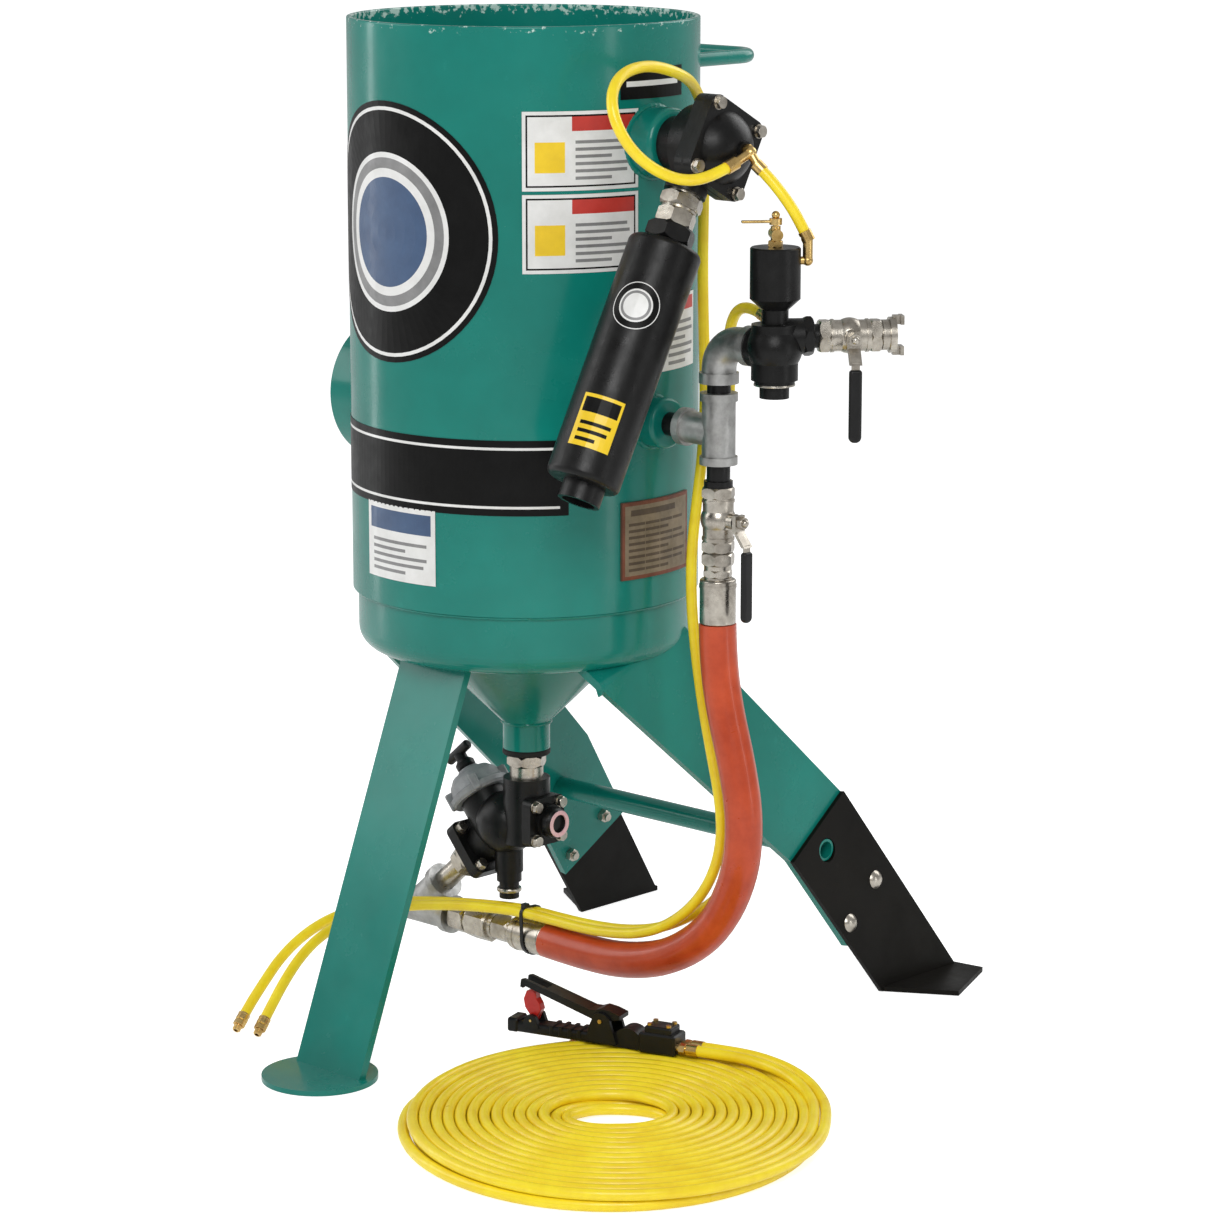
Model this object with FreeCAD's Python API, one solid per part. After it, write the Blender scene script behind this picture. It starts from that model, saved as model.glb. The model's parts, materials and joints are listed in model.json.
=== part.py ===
import FreeCAD, Part
import math
import os

# Portable pressure blast pot: a welded vessel on three legs, with its air piping on the +X side, a metering
# valve and blast line underneath, a hand hole on the -X side, and a remote control on twin hoses.
# Millimetres, +Z up. The model is worked out about the vessel's axis and shifted at the end, so that the
# origin is on the floor under the middle of the footprint.

V = FreeCAD.Vector
X_AXIS = V(1, 0, 0)
Y_AXIS = V(0, 1, 0)
Z_AXIS = V(0, 0, 1)
ORIGIN = V(0, 0, 0)

# Vessel
SHELL_R = 203.2
SHELL_WALL = 6.35
SHELL_BOTTOM = 530.0
RIM_Z = 1194.0
HEAD_SKIRT_R = SHELL_R - SHELL_WALL
HEAD_WALL = 6.0
HEAD_SKIRT_TOP = 566.0
KNUCKLE_TOP = 484.0
KNUCKLE_R = 26.0
CONE_TOP_R = 112.0
CONE_TOP_Z = 446.0
NECK_R = 28.0
NECK_TOP_Z = 362.0
NECK_BOTTOM_Z = 330.0
NECK_BORE = 17.0
TOP_HEAD_EDGE_Z = 1122.0
TOP_HEAD_LIP = 26.0
TOP_HEAD_DEPTH = 84.0
FILL_R = 50.0
SEAL_DROP = 8.0
SEAL_LIP = 5.0

# Pop-up valve, hand hole and push handle
POPUP_TRAVEL = 32.0
POPUP_TOP_R = 18.0
POPUP_BASE_R = 60.0
POPUP_EDGE = 6.0
POPUP_CONE = 37.0
POPUP_SLEEVE = 104.0
HANDWAY_R = 84.1
HANDWAY_BORE = 77.0
HANDWAY_Z = 738.0
HANDWAY_OUT = -245.0
HANDWAY_IN = -178.0
HANDWAY_COVER_R = 72.0
GASKET_T = 4.0
GASKET_X = -190.0
LAND_R = 62.0
PUSH_R = 8.5
PUSH_HALF_WIDTH = 97.0
PUSH_Y = 300.0
PUSH_CORNER = 36.0
PUSH_Z = 1137.0

# Legs
LEG_PLATE = 9.5
FRONT_LEG_WIDTH = 106.0
FRONT_LEG_TOP_Y = -143.0
FRONT_LEG_TOP_Z = 482.0
FRONT_LEG_FOOT_Y = -328.0
FOOT_R = 67.0
FOOT_T = 6.0
FOOT_Y = -340.0
REAR_FLOOR_X = 252.0
REAR_SPLAY = 8.0
BRACKET_PLATE = 6.0
AXLE_Y = 282.0
AXLE_Z = 190.0
AXLE_R = 13.35
AXLE_BORE = 10.45

# Rear legs, in the plane of the splayed plates: level distance from the vessel's axis, and height
LEG_FOLD_FRONT = (-70.0, 446.0)
LEG_FOLD_BACK = (84.0, 488.0)
LEG_KNEE_TOP = (322.0, 257.0)
LEG_TOE_TOP = (408.0, 135.0)
LEG_TOE_BOTTOM = (308.5, 67.0)
LEG_KNEE_BOTTOM = (221.0, 189.0)
BRACKET_TOP_BACK = (323.0, 256.0)
BRACKET_TOP_FRONT = (220.0, 188.0)
BRACKET_HEEL = 358.0
BRACKET_TOE = 504.0
BRACKET_OUT = 84.0
FOOT_BOLTS = ((366.0, 138.0), (312.0, 95.0))

# Pipework on the +X side
PIPE_R = 13.35
PIPE_BORE = 10.45
COLUMN_X = 304.0
INLET_Z = 745.0
BOSS_R = 29.0
BOSS_OUT = 229.0
INLET_VALVE_X = 386.0
INLET_VALVE_Z = 846.0
CHOKE_YAW = 50.0
CHOKE_RISE = 14.0
OUTLET_Z = 1062.0
OUTLET_TILT = 28.5
PUSHER_Z = 98.0
PUSHER_HOSE_R = 21.5
HOSE_R = 6.35
WYE_X = -187.0
WYE_ANGLE = 41.0
METER_X = -33.0
THREAD = 12.0
CLAW_BORE = 10.0
BLAST_BORE = 12.0

# Bosses and data plate
OUTLET_BOSS_R = 40.0
OUTLET_BOSS_OUT = 236.0
PLATE_FROM = -13.5
PLATE_TO = 19.5
PLATE_LOW = 566.0
PLATE_HIGH = 656.0
PLATE_STAND = 2.5

# Fittings on the +X side
TEE_R = 19.0
TEE_BAND_R = 21.5
TEE_LOW = 708.0
TEE_HIGH = 789.0
ELBOW_LOW = 800.0
MAIN_LOW = 608.0
MAIN_HIGH = 682.0
TEE_BRANCH = 54.0
ELBOW_R = 19.5
ELBOW_BAND_R = 22.5
CHOKE_PORT = 42.0
CHOKE_FROM = 48.0
CHOKE_LENGTH = 70.0
VALVE_CHAMBER_R = 19.0
VALVE_SPIGOT = 30.0
CYLINDER_LOW = 890.0
CYLINDER_HIGH = 959.0
CYLINDER_R = 28.0
PISTON_R = 22.9
BLEEDER_YAW = 230.0
BLEEDER_STEM_Z = 983.0
BALL_R = 14.0
BALL_STEM_R = 4.0
LEVER_LENGTH = 108.0
GRIP_BLADE = 9.0
FERRULE_LENGTH = 52.0
FERRULE_R = 20.6
WYE_BRANCH = 62.0

# Outlet valve and silencer
BODY_X = 300.0
BONNET_HALF = 48.0
BOLT_HALF = 38.0
EXHAUST_X = 276.0
NECK_REACH = 58.0
UNION_END = 98.0
SILENCER_R = 42.0
SILENCER_FROM = 120.0
SILENCER_END = 404.0
SILENCER_BORE = 13.0

# Metering valve
METER_FLANGE_HALF = (36.0, 34.0)
METER_FLANGE_AT = 52.0
METER_FLANGE_T = 14.0
METER_BORE = 16.0
PLUNGER_SHIFT = 15.0
BONNET_AT = 46.0
CAP_BASE = V(20.0, 0, 245.0)
CAP_FLANGE_HALF = 29.0
CAP_BOLT_HALF = 20.5

# Small hoses: where they leave their brass fittings
TEE_CENTRE = V(351, -3, 1060)
HOSE_A_START = V(346, -24, 1049)
HOSE_B_START = V(345, 33, 874)
LINK_START = V(361, -2, 1046)
LINK_END = V(411, 25, 968)

# Remote control and its coiled line
COIL_X = 371.0
COIL_Y = -240.5
COIL_YAW = 44.3
COIL_ACROSS = 243.0
COIL_DEEP = 275.0
COIL_HOLE = 40.0
COIL_HEIGHT = 2 * 2 * HOSE_R + 0.2
HANDLE_REAR = V(295.0, -50.0, COIL_HEIGHT + 0.4)
HANDLE_YAW = 197.0
HANDLE_LENGTH = 215.0

# Handle pieces and hose ends
LEVER_PIVOT = (95.0, 30.0)
FLAP_PIVOT = (187.0, 17.0)
FLAP_HALF = 6.0
PIVOT_PIN_R = 2.5
SWIVEL_LENGTH = 26.0
SWIVEL_Z = 9.0
SWIVEL_Y = 7.5

# Bends that the hoses take are collected here, so that the tightest of each is printed at the end.
bend_radii = {}


def cylinder(radius, length, base, axis=Z_AXIS):
    return Part.makeCylinder(radius, length, base, axis)


def tube(outer, inner, length, base, axis=Z_AXIS):
    return cylinder(outer, length, base, axis).cut(cylinder(inner, length, base, axis))


def box(low, high):
    return Part.makeBox(high[0] - low[0], high[1] - low[1], high[2] - low[2], V(*low))


def aim(shape, base, axis):
    """Turn a shape built along +Z so that it runs along axis from base."""
    shape = shape.copy()
    turn = FreeCAD.Rotation(Z_AXIS, axis)
    shape.Placement = FreeCAD.Placement(base, turn).multiply(shape.Placement)
    return shape


def hexagon(across_flats, length, base, axis=Z_AXIS):
    corner_r = across_flats / math.sqrt(3.0)
    corners = []
    for i in range(7):
        angle = math.radians(60.0 * i)
        corners.append(V(corner_r * math.cos(angle), corner_r * math.sin(angle), 0))
    prism = Part.Face(Part.makePolygon(corners)).extrude(V(0, 0, length))
    # The corners of a turned nut are rounded off at both ends.
    bevel = across_flats * 0.08
    turned = Part.makeCylinder(corner_r, length)
    turned = turned.makeChamfer(bevel, end_rims(turned))
    return aim(prism.common(turned), base, axis)


def end_rims(shape):
    """The round edges at the ends of a turned shape."""
    return [edge for edge in shape.Edges if edge.Closed and len(edge.Vertexes) == 1]


def sweep_round(path, radius):
    """A round bar along a wire, which it follows from the wire's first edge."""
    first = path.Edges[0]
    start = first.Vertexes[0].Point
    section = Part.Wire(Part.Circle(start, first.tangentAt(first.FirstParameter), radius).toShape())
    return path.makePipeShell([section], True, False)


def lathe(outline, base=ORIGIN, axis=Z_AXIS):
    """Turn a closed outline of (radius, height) points about the axis."""
    points = [V(r, 0, z) for r, z in outline]
    face = Part.Face(Part.makePolygon(points + points[:1]))
    return aim(face.revolve(ORIGIN, Z_AXIS, 360), base, axis)


def plate_yz(outline, x_low, thickness):
    """Extrude a (y, z) outline along +X."""
    points = [V(x_low, y, z) for y, z in outline]
    return Part.Face(Part.makePolygon(points + points[:1])).extrude(V(thickness, 0, 0))


def join(shapes):
    return shapes[0].multiFuse(shapes[1:]).removeSplitter()


def mirrored(shape):
    return shape.mirror(ORIGIN, X_AXIS)


def yawed(degrees):
    angle = math.radians(degrees)
    return V(math.cos(angle), math.sin(angle), 0)


def hose(name, points, radius):
    """A round hose along straight runs joined by tangent arcs, each as large as its two runs allow."""
    points = [V(*p) for p in points]
    edges = []
    radii = []
    start = points[0]
    for before, corner, after in zip(points, points[1:], points[2:]):
        run_in = corner - before
        run_out = after - corner
        half_turn = run_in.getAngle(run_out) / 2.0
        trim = 0.45 * min(run_in.Length, run_out.Length)
        bend = trim / math.tan(half_turn)
        into = V(run_in).normalize()
        out_of = V(run_out).normalize()
        arc_start = corner - into * trim
        arc_end = corner + out_of * trim
        to_centre = (out_of - into).normalize()
        middle = corner + to_centre * (bend / math.cos(half_turn) - bend)
        edges.append(Part.LineSegment(start, arc_start).toShape())
        edges.append(Part.Arc(arc_start, middle, arc_end).toShape())
        radii.append(bend)
        start = arc_end
    edges.append(Part.LineSegment(start, points[-1]).toShape())
    path = Part.Wire(edges)
    section = Part.Wire(Part.Circle(points[0], points[1] - points[0], radius).toShape())
    solid = path.makePipeShell([section], True, False)
    expected = math.pi * radius ** 2 * path.Length
    bend_radii[name] = (min(radii), path.Length, solid.Volume / expected)
    return solid


# ---------------------------------------------------------------- vessel

def head_form(inset):
    """Solid inside the bottom head's outer surface, moved in by inset."""
    skirt_r = HEAD_SKIRT_R - inset
    knuckle = KNUCKLE_R - inset
    centre_r = HEAD_SKIRT_R - KNUCKLE_R
    turn = math.radians(75.0)
    steps = 8
    outline = [(0, HEAD_SKIRT_TOP + 1), (skirt_r, HEAD_SKIRT_TOP + 1), (skirt_r, KNUCKLE_TOP)]
    for i in range(1, steps + 1):
        angle = turn * i / steps
        outline.append((centre_r + knuckle * math.cos(angle), KNUCKLE_TOP - knuckle * math.sin(angle)))
    outline.append((CONE_TOP_R - inset * 0.6, CONE_TOP_Z + inset))
    outline.append((NECK_R - inset * 0.6, NECK_TOP_Z + inset * 0.6))
    outline.append((0, NECK_TOP_Z + inset * 0.6))
    return lathe(outline)


def make_vessel_shell():
    shell = tube(SHELL_R, HEAD_SKIRT_R, RIM_Z - SHELL_BOTTOM, V(0, 0, SHELL_BOTTOM))
    rim_edges = []
    for edge in shell.Edges:
        if edge.Closed and abs(edge.BoundBox.ZMin - RIM_Z) < 0.01:
            rim_edges.append(edge)
    shell = shell.makeFillet(2.0, rim_edges)
    shell = shell.cut(cylinder(HANDWAY_R, 120, V(-260, 0, HANDWAY_Z), X_AXIS))
    shell = shell.cut(cylinder(BOSS_R, 120, V(150, 0, INLET_Z), X_AXIS))
    return shell.cut(cylinder(OUTLET_BOSS_R, 120, V(150, 0, OUTLET_Z), X_AXIS))


def make_bottom_head():
    head = head_form(0)
    neck = cylinder(NECK_R, NECK_TOP_Z - NECK_BOTTOM_Z + 8, V(0, 0, NECK_BOTTOM_Z))
    inside = head_form(HEAD_WALL)
    bore = cylinder(NECK_BORE, 80, V(0, 0, NECK_BOTTOM_Z - 5))
    above = box((-300, -300, HEAD_SKIRT_TOP), (300, 300, HEAD_SKIRT_TOP + 5))
    return head.fuse(neck).cut(inside).cut(bore).cut(above).removeSplitter()


def top_head_height(radius):
    """Height of the dished head's underside at a radius."""
    return TOP_HEAD_EDGE_Z - TOP_HEAD_DEPTH * math.sqrt(1 - (radius / HEAD_SKIRT_R) ** 2)


FILL_Z = top_head_height(FILL_R)


def make_top_head():
    """Dished filling funnel, welded inside the top of the shell, with the filling port in its middle."""
    under = []
    steps = 14
    for i in range(steps + 1):
        radius = FILL_R + (HEAD_SKIRT_R - 0.5 - FILL_R) * math.sin(math.radians(90 * i / steps))
        under.append((radius, top_head_height(radius)))
    inner_r = HEAD_SKIRT_R - HEAD_WALL
    over = [(min(radius, inner_r), z + HEAD_WALL) for radius, z in reversed(under[:-3])]
    lip_z = TOP_HEAD_EDGE_Z + TOP_HEAD_LIP
    rim = [(HEAD_SKIRT_R, TOP_HEAD_EDGE_Z), (HEAD_SKIRT_R, lip_z),
           (inner_r, lip_z), (inner_r, TOP_HEAD_EDGE_Z)]
    return lathe(under + rim + over)


def make_seals():
    """The moulded ring that the pop-up valve closes against, and the hand hole's gasket."""
    low = FILL_Z - SEAL_DROP
    lip_r = FILL_R - SEAL_LIP
    fill_seal = lathe([(FILL_R, FILL_Z), (FILL_R, FILL_Z + HEAD_WALL), (lip_r, FILL_Z + HEAD_WALL),
                       (lip_r, low), (FILL_R + 4, low), (FILL_R + 4, FILL_Z - 1.5)])
    gasket = tube(HANDWAY_COVER_R, LAND_R - 2, GASKET_T, V(GASKET_X - GASKET_T, 0, HANDWAY_Z), X_AXIS)
    return Part.Compound([fill_seal, gasket])


# Height above the valve's base at which its cone is as wide as the seal's opening.
POPUP_SEAT = POPUP_EDGE + POPUP_CONE * (POPUP_BASE_R - FILL_R + SEAL_LIP) / (POPUP_BASE_R - POPUP_TOP_R)
POPUP_Z = FILL_Z - SEAL_DROP - POPUP_SEAT - POPUP_TRAVEL - 0.4
PIPE_TOP_Z = POPUP_Z + 2


def make_popup_valve():
    """Cone with a sleeve that slides on the air pipe, and lifts against the seal under pressure."""
    top = POPUP_EDGE + POPUP_CONE
    cone = lathe([(0, 0), (POPUP_BASE_R, 0), (POPUP_BASE_R, POPUP_EDGE), (POPUP_TOP_R, top),
                  (POPUP_TOP_R - 5, top + 3), (0, top + 3)], V(0, 0, POPUP_Z))
    sleeve = cylinder(PIPE_R + 4, POPUP_SLEEVE + 2, V(0, 0, POPUP_Z - POPUP_SLEEVE))
    slide = cylinder(PIPE_R + 0.08, POPUP_SLEEVE + 30, V(0, 0, POPUP_Z - POPUP_SLEEVE))
    return cone.fuse(sleeve).cut(slide).removeSplitter()


def make_inner_air_pipe():
    """From the inlet boss to the middle of the vessel and up into the pop-up valve."""
    bend = 45.0
    run = Part.LineSegment(V(190, 0, INLET_Z), V(bend, 0, INLET_Z)).toShape()
    corner = Part.Arc(V(bend, 0, INLET_Z), V(bend * (1 - math.sin(math.radians(45))), 0,
                      INLET_Z + bend * (1 - math.cos(math.radians(45)))), V(0, 0, INLET_Z + bend)).toShape()
    rise = Part.LineSegment(V(0, 0, INLET_Z + bend), V(0, 0, PIPE_TOP_Z)).toShape()
    path = Part.Wire([run, corner, rise])
    return sweep_round(path, PIPE_R).cut(sweep_round(path, PIPE_BORE))


def make_handway_ring():
    """Short pipe through the shell, with an inner land that the cover seals against."""
    length = HANDWAY_IN - HANDWAY_OUT
    ring = tube(HANDWAY_R, HANDWAY_BORE, length, V(HANDWAY_OUT, 0, HANDWAY_Z), X_AXIS)
    land = tube(HANDWAY_BORE + 1, LAND_R, 8, V(GASKET_X - GASKET_T - 8, 0, HANDWAY_Z), X_AXIS)
    ring = ring.fuse(land)
    outer_edges = []
    for edge in ring.Edges:
        if edge.Closed and abs(edge.BoundBox.XMax - HANDWAY_OUT) < 0.01:
            outer_edges.append(edge)
    return ring.makeChamfer(1.5, outer_edges).removeSplitter()


def make_handway_cover():
    plate = cylinder(HANDWAY_COVER_R, 10, V(GASKET_X, 0, HANDWAY_Z), X_AXIS)
    spigot = cylinder(LAND_R - 25, 26, V(GASKET_X - 25, 0, HANDWAY_Z), X_AXIS)
    stud = cylinder(8, 90, V(GASKET_X - 90, 0, HANDWAY_Z), X_AXIS)
    return join([plate, spigot, stud])


def make_handway_crab():
    """Bridge across the mouth of the hand hole, with the nut that pulls the cover outwards."""
    bar_x = HANDWAY_OUT - 16
    bar = box((bar_x, -15, HANDWAY_Z - 78), (bar_x + 12, 15, HANDWAY_Z + 78))
    feet = [box((bar_x, -15, HANDWAY_Z + side * 79 - 5), (HANDWAY_OUT, 15, HANDWAY_Z + side * 79 + 5))
            for side in (-1, 1)]
    bridge = join([bar] + feet).cut(cylinder(8.5, 60, V(bar_x - 10, 0, HANDWAY_Z), X_AXIS))
    nut = hexagon(26, 14, V(bar_x, 0, HANDWAY_Z), V(-1, 0, 0)).cut(
        cylinder(8.0, 40, V(bar_x - 25, 0, HANDWAY_Z), X_AXIS))
    return Part.Compound([bridge, nut])


def make_push_handle():
    """Round bar bent into a U, welded to the back of the shell."""
    slope = PUSH_CORNER * (1 - math.sin(math.radians(45)))
    bar_y = PUSH_Y - PUSH_CORNER
    bar_x = PUSH_HALF_WIDTH - PUSH_CORNER
    start = V(PUSH_HALF_WIDTH, 140, PUSH_Z)
    end = V(-PUSH_HALF_WIDTH, 140, PUSH_Z)
    right = [V(PUSH_HALF_WIDTH, bar_y, PUSH_Z), V(PUSH_HALF_WIDTH - slope, PUSH_Y - slope, PUSH_Z),
             V(bar_x, PUSH_Y, PUSH_Z)]
    left = [V(-point.x, point.y, point.z) for point in reversed(right)]
    path = Part.Wire([Part.LineSegment(start, right[0]).toShape(), Part.Arc(*right).toShape(),
                      Part.LineSegment(right[2], left[0]).toShape(), Part.Arc(*left).toShape(),
                      Part.LineSegment(left[2], end).toShape()])
    return sweep_round(path, PUSH_R).cut(cylinder(SHELL_R, 60, V(0, 0, PUSH_Z - 30)))


# ---------------------------------------------------------------- legs

def vessel_form():
    """Everything inside the vessel's outer surface, which the legs are cut to fit."""
    return head_form(0).fuse(cylinder(SHELL_R, 200, V(0, 0, SHELL_BOTTOM)))


def make_front_leg(vessel):
    across = LEG_PLATE / math.cos(math.atan2(FRONT_LEG_TOP_Y - FRONT_LEG_FOOT_Y, FRONT_LEG_TOP_Z))
    outline = [(FRONT_LEG_FOOT_Y, FOOT_T), (FRONT_LEG_FOOT_Y + across, FOOT_T),
               (FRONT_LEG_TOP_Y + across, FRONT_LEG_TOP_Z), (FRONT_LEG_TOP_Y, FRONT_LEG_TOP_Z)]
    strut = plate_yz(outline, -FRONT_LEG_WIDTH / 2, FRONT_LEG_WIDTH).cut(vessel)
    foot = cylinder(FOOT_R, FOOT_T, V(0, FOOT_Y, 0))
    return join([strut, foot])


def splayed(shape):
    """Lean a plate that stands at REAR_FLOOR_X inwards about the floor line."""
    leaning = shape.copy()
    leaning.rotate(V(REAR_FLOOR_X, 0, 0), Y_AXIS, -REAR_SPLAY)
    return leaning


def make_rear_leg(vessel):
    outline = [LEG_FOLD_FRONT, LEG_FOLD_BACK, LEG_KNEE_TOP, LEG_TOE_TOP, LEG_TOE_BOTTOM, LEG_KNEE_BOTTOM]
    plate_x = REAR_FLOOR_X - LEG_PLATE
    plate = plate_yz(outline, plate_x, LEG_PLATE)
    fold = [V(plate_x, *LEG_FOLD_FRONT), V(plate_x, *LEG_FOLD_BACK)]
    inward = V(-1, 0, 0.75).normalize() * 120
    skin = Part.makePolygon([fold[0], fold[1], fold[1] + inward, fold[0] + inward, fold[0]])
    tab_normal = (fold[1] - fold[0]).cross(inward).normalize()
    if tab_normal.x < 0:
        tab_normal = tab_normal * -1
    tab = Part.Face(skin).extrude(tab_normal * LEG_PLATE)
    corner = cylinder(LEG_PLATE, (fold[1] - fold[0]).Length, fold[0], fold[1] - fold[0])
    corner = corner.cut(box((plate_x - 20, -300, 300), (plate_x, 300, 700)))
    leg = join([plate, tab, corner])
    # The bend keeps the folded end inside the plate's own edges.
    beyond = plate_yz([(LEG_FOLD_FRONT[0] - 40, 380), LEG_FOLD_FRONT,
                       (LEG_FOLD_FRONT[0], 640), (-200, 640)], 0, 400)
    leg = splayed(leg.cut(beyond)).cut(vessel)
    leg = leg.cut(cylinder(AXLE_R, 400, V(0, AXLE_Y, AXLE_Z), X_AXIS))
    for y, z in FOOT_BOLTS:
        leg = leg.cut(splayed(cylinder(5.0, 60, V(REAR_FLOOR_X - 40, y, z), X_AXIS)))
    largest = max(leg.Solids, key=lambda solid: solid.Volume)
    return largest


def make_foot_bracket():
    upright = plate_yz([BRACKET_TOP_FRONT, BRACKET_TOP_BACK, (BRACKET_TOE, 0), (BRACKET_HEEL, 0)],
                       REAR_FLOOR_X, BRACKET_PLATE)
    upright = splayed(upright)
    corners = [V(REAR_FLOOR_X, BRACKET_HEEL, 0), V(REAR_FLOOR_X, BRACKET_TOE, 0),
               V(REAR_FLOOR_X + 0.5 * BRACKET_OUT, BRACKET_TOE + 6, 0),
               V(REAR_FLOOR_X + BRACKET_OUT, BRACKET_HEEL + 52, 0)]
    foot = Part.Face(Part.makePolygon(corners + corners[:1])).extrude(V(0, 0, BRACKET_PLATE))
    above_floor = box((0, 0, 0), (600, 800, 500))
    bracket = join([upright, foot]).common(above_floor)
    bracket = bracket.cut(cylinder(AXLE_R + 1.2, 400, V(0, AXLE_Y, AXLE_Z), X_AXIS))
    for y, z in FOOT_BOLTS:
        bracket = bracket.cut(splayed(cylinder(5.0, 60, V(REAR_FLOOR_X - 40, y, z), X_AXIS)))
    return bracket


def make_foot_bolts():
    """Round-headed bolts through the legs and brackets, each with its nut."""
    bolts = []
    for y, z in FOOT_BOLTS:
        head_x = REAR_FLOOR_X + BRACKET_PLATE
        nut_x = REAR_FLOOR_X - LEG_PLATE
        head = Part.makeSphere(14.0, V(head_x - 8.2, y, z)).common(
            box((head_x, y - 20, z - 20), (head_x + 20, y + 20, z + 20)))
        shank = cylinder(5.0, head_x - nut_x + 12, V(nut_x - 12, y, z), X_AXIS)
        nut = hexagon(15, 8, V(nut_x, y, z), V(-1, 0, 0))
        bolts.append(splayed(join([head, shank, nut])))
    return Part.Compound(bolts + [mirrored(bolt) for bolt in bolts])


def make_axle_tube():
    reach = REAR_FLOOR_X - AXLE_Z * math.tan(math.radians(REAR_SPLAY)) + 4
    return tube(AXLE_R, AXLE_BORE, 2 * reach, V(-reach, AXLE_Y, AXLE_Z), X_AXIS)


# ---------------------------------------------------------------- bosses and plate


def make_pipe_bosses():
    inlet = tube(BOSS_R, PIPE_R, BOSS_OUT - 190, V(190, 0, INLET_Z), X_AXIS)
    outlet = tube(OUTLET_BOSS_R, 17, OUTLET_BOSS_OUT - 190, V(190, 0, OUTLET_Z), X_AXIS)
    inlet = inlet.makeFillet(5.0, [edge for edge in inlet.Edges
                                   if edge.Closed and abs(edge.BoundBox.XMin - BOSS_OUT) < 0.01
                                   and edge.BoundBox.YLength > 1.9 * BOSS_R])
    outlet = outlet.makeFillet(7.0, [edge for edge in outlet.Edges
                                     if edge.Closed and abs(edge.BoundBox.XMin - OUTLET_BOSS_OUT) < 0.01
                                     and edge.BoundBox.YLength > 1.9 * OUTLET_BOSS_R])
    return Part.Compound([inlet, outlet])


def make_data_plate():
    """Curved plate fixed to the shell under the silencer."""
    height = PLATE_HIGH - PLATE_LOW
    ring = tube(SHELL_R + PLATE_STAND, SHELL_R, height, V(0, 0, PLATE_LOW))
    reach = 400
    corners = [ORIGIN, yawed(PLATE_FROM) * reach, yawed(PLATE_TO) * reach]
    wedge = Part.Face(Part.makePolygon(corners + corners[:1])).extrude(V(0, 0, 2000))
    return ring.common(wedge)


# ---------------------------------------------------------------- pipework


def make_pipe_nipples():
    """Threaded pipe pieces that join the boss, tee, elbow, valves and supply valve."""
    boss_end = COLUMN_X - TEE_BRANCH + THREAD
    to_tee = tube(PIPE_R, PIPE_BORE, boss_end - 196, V(196, 0, INLET_Z), X_AXIS)
    upper = tube(PIPE_R, PIPE_BORE, ELBOW_LOW - TEE_HIGH + 2 * THREAD, V(COLUMN_X, 0, TEE_HIGH - THREAD))
    lower = tube(PIPE_R, PIPE_BORE, TEE_LOW - MAIN_HIGH + 2 * THREAD, V(COLUMN_X, 0, MAIN_HIGH - THREAD))
    lock_ring = tube(PIPE_R + 3, PIPE_R, 7, V(COLUMN_X, 0, MAIN_HIGH + 0.2))
    gap = CHOKE_FROM - CHOKE_PORT
    supply_from = CHOKE_AXIS_BASE + CHOKE_DIR * (CHOKE_PORT - THREAD)
    supply = tube(PIPE_R, PIPE_BORE, gap + 2 * THREAD, supply_from, CHOKE_DIR)
    return Part.Compound([to_tee, upper, join([lower, lock_ring]), supply])


def make_inlet_tee():
    """Malleable-iron tee, its branch towards the vessel."""
    mouth = COLUMN_X - TEE_BRANCH
    parts = [cylinder(TEE_R, TEE_HIGH - TEE_LOW, V(COLUMN_X, 0, TEE_LOW)),
             cylinder(TEE_BAND_R, 9, V(COLUMN_X, 0, TEE_LOW)),
             cylinder(TEE_BAND_R, 9, V(COLUMN_X, 0, TEE_HIGH - 9)),
             cylinder(TEE_R - 1, TEE_BRANCH, V(mouth, 0, INLET_Z), X_AXIS),
             cylinder(TEE_BAND_R, 9, V(mouth, 0, INLET_Z), X_AXIS)]
    bores = [cylinder(PIPE_BORE, 200, V(COLUMN_X, 0, TEE_LOW - 50)),
             cylinder(PIPE_R, THREAD, V(COLUMN_X, 0, TEE_LOW)),
             cylinder(PIPE_R, THREAD, V(COLUMN_X, 0, TEE_HIGH - THREAD)),
             cylinder(PIPE_BORE, TEE_BRANCH, V(mouth, 0, INLET_Z), X_AXIS),
             cylinder(PIPE_R, THREAD, V(mouth, 0, INLET_Z), X_AXIS)]
    return join(parts).cut(join(bores))


def make_inlet_elbow():
    """Swept elbow from the column to the air inlet valve."""
    bend = 30.0
    top = INLET_VALVE_Z
    start = V(COLUMN_X, 0, ELBOW_LOW)
    turn = V(COLUMN_X, 0, top - bend)
    short = bend * (1 - math.cos(math.radians(45)))
    middle = V(COLUMN_X + short, 0, top - short)
    out = V(COLUMN_X + bend, 0, top)
    end = V(INLET_VALVE_X - VALVE_SPIGOT, 0, top)
    path = Part.Wire([Part.LineSegment(start, turn).toShape(), Part.Arc(turn, middle, out).toShape(),
                      Part.LineSegment(out, end).toShape()])
    body = join([sweep_round(path, ELBOW_R),
                 cylinder(ELBOW_BAND_R, 12, start),
                 cylinder(ELBOW_BAND_R, 10, end - X_AXIS * 10, X_AXIS)])
    body = body.cut(sweep_round(path, PIPE_BORE))
    return body.cut(cylinder(PIPE_R, THREAD, start)).removeSplitter()


CHOKE_DIR = yawed(CHOKE_YAW)
CHOKE_AXIS_BASE = V(INLET_VALVE_X, 0, INLET_VALVE_Z + CHOKE_RISE)


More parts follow.
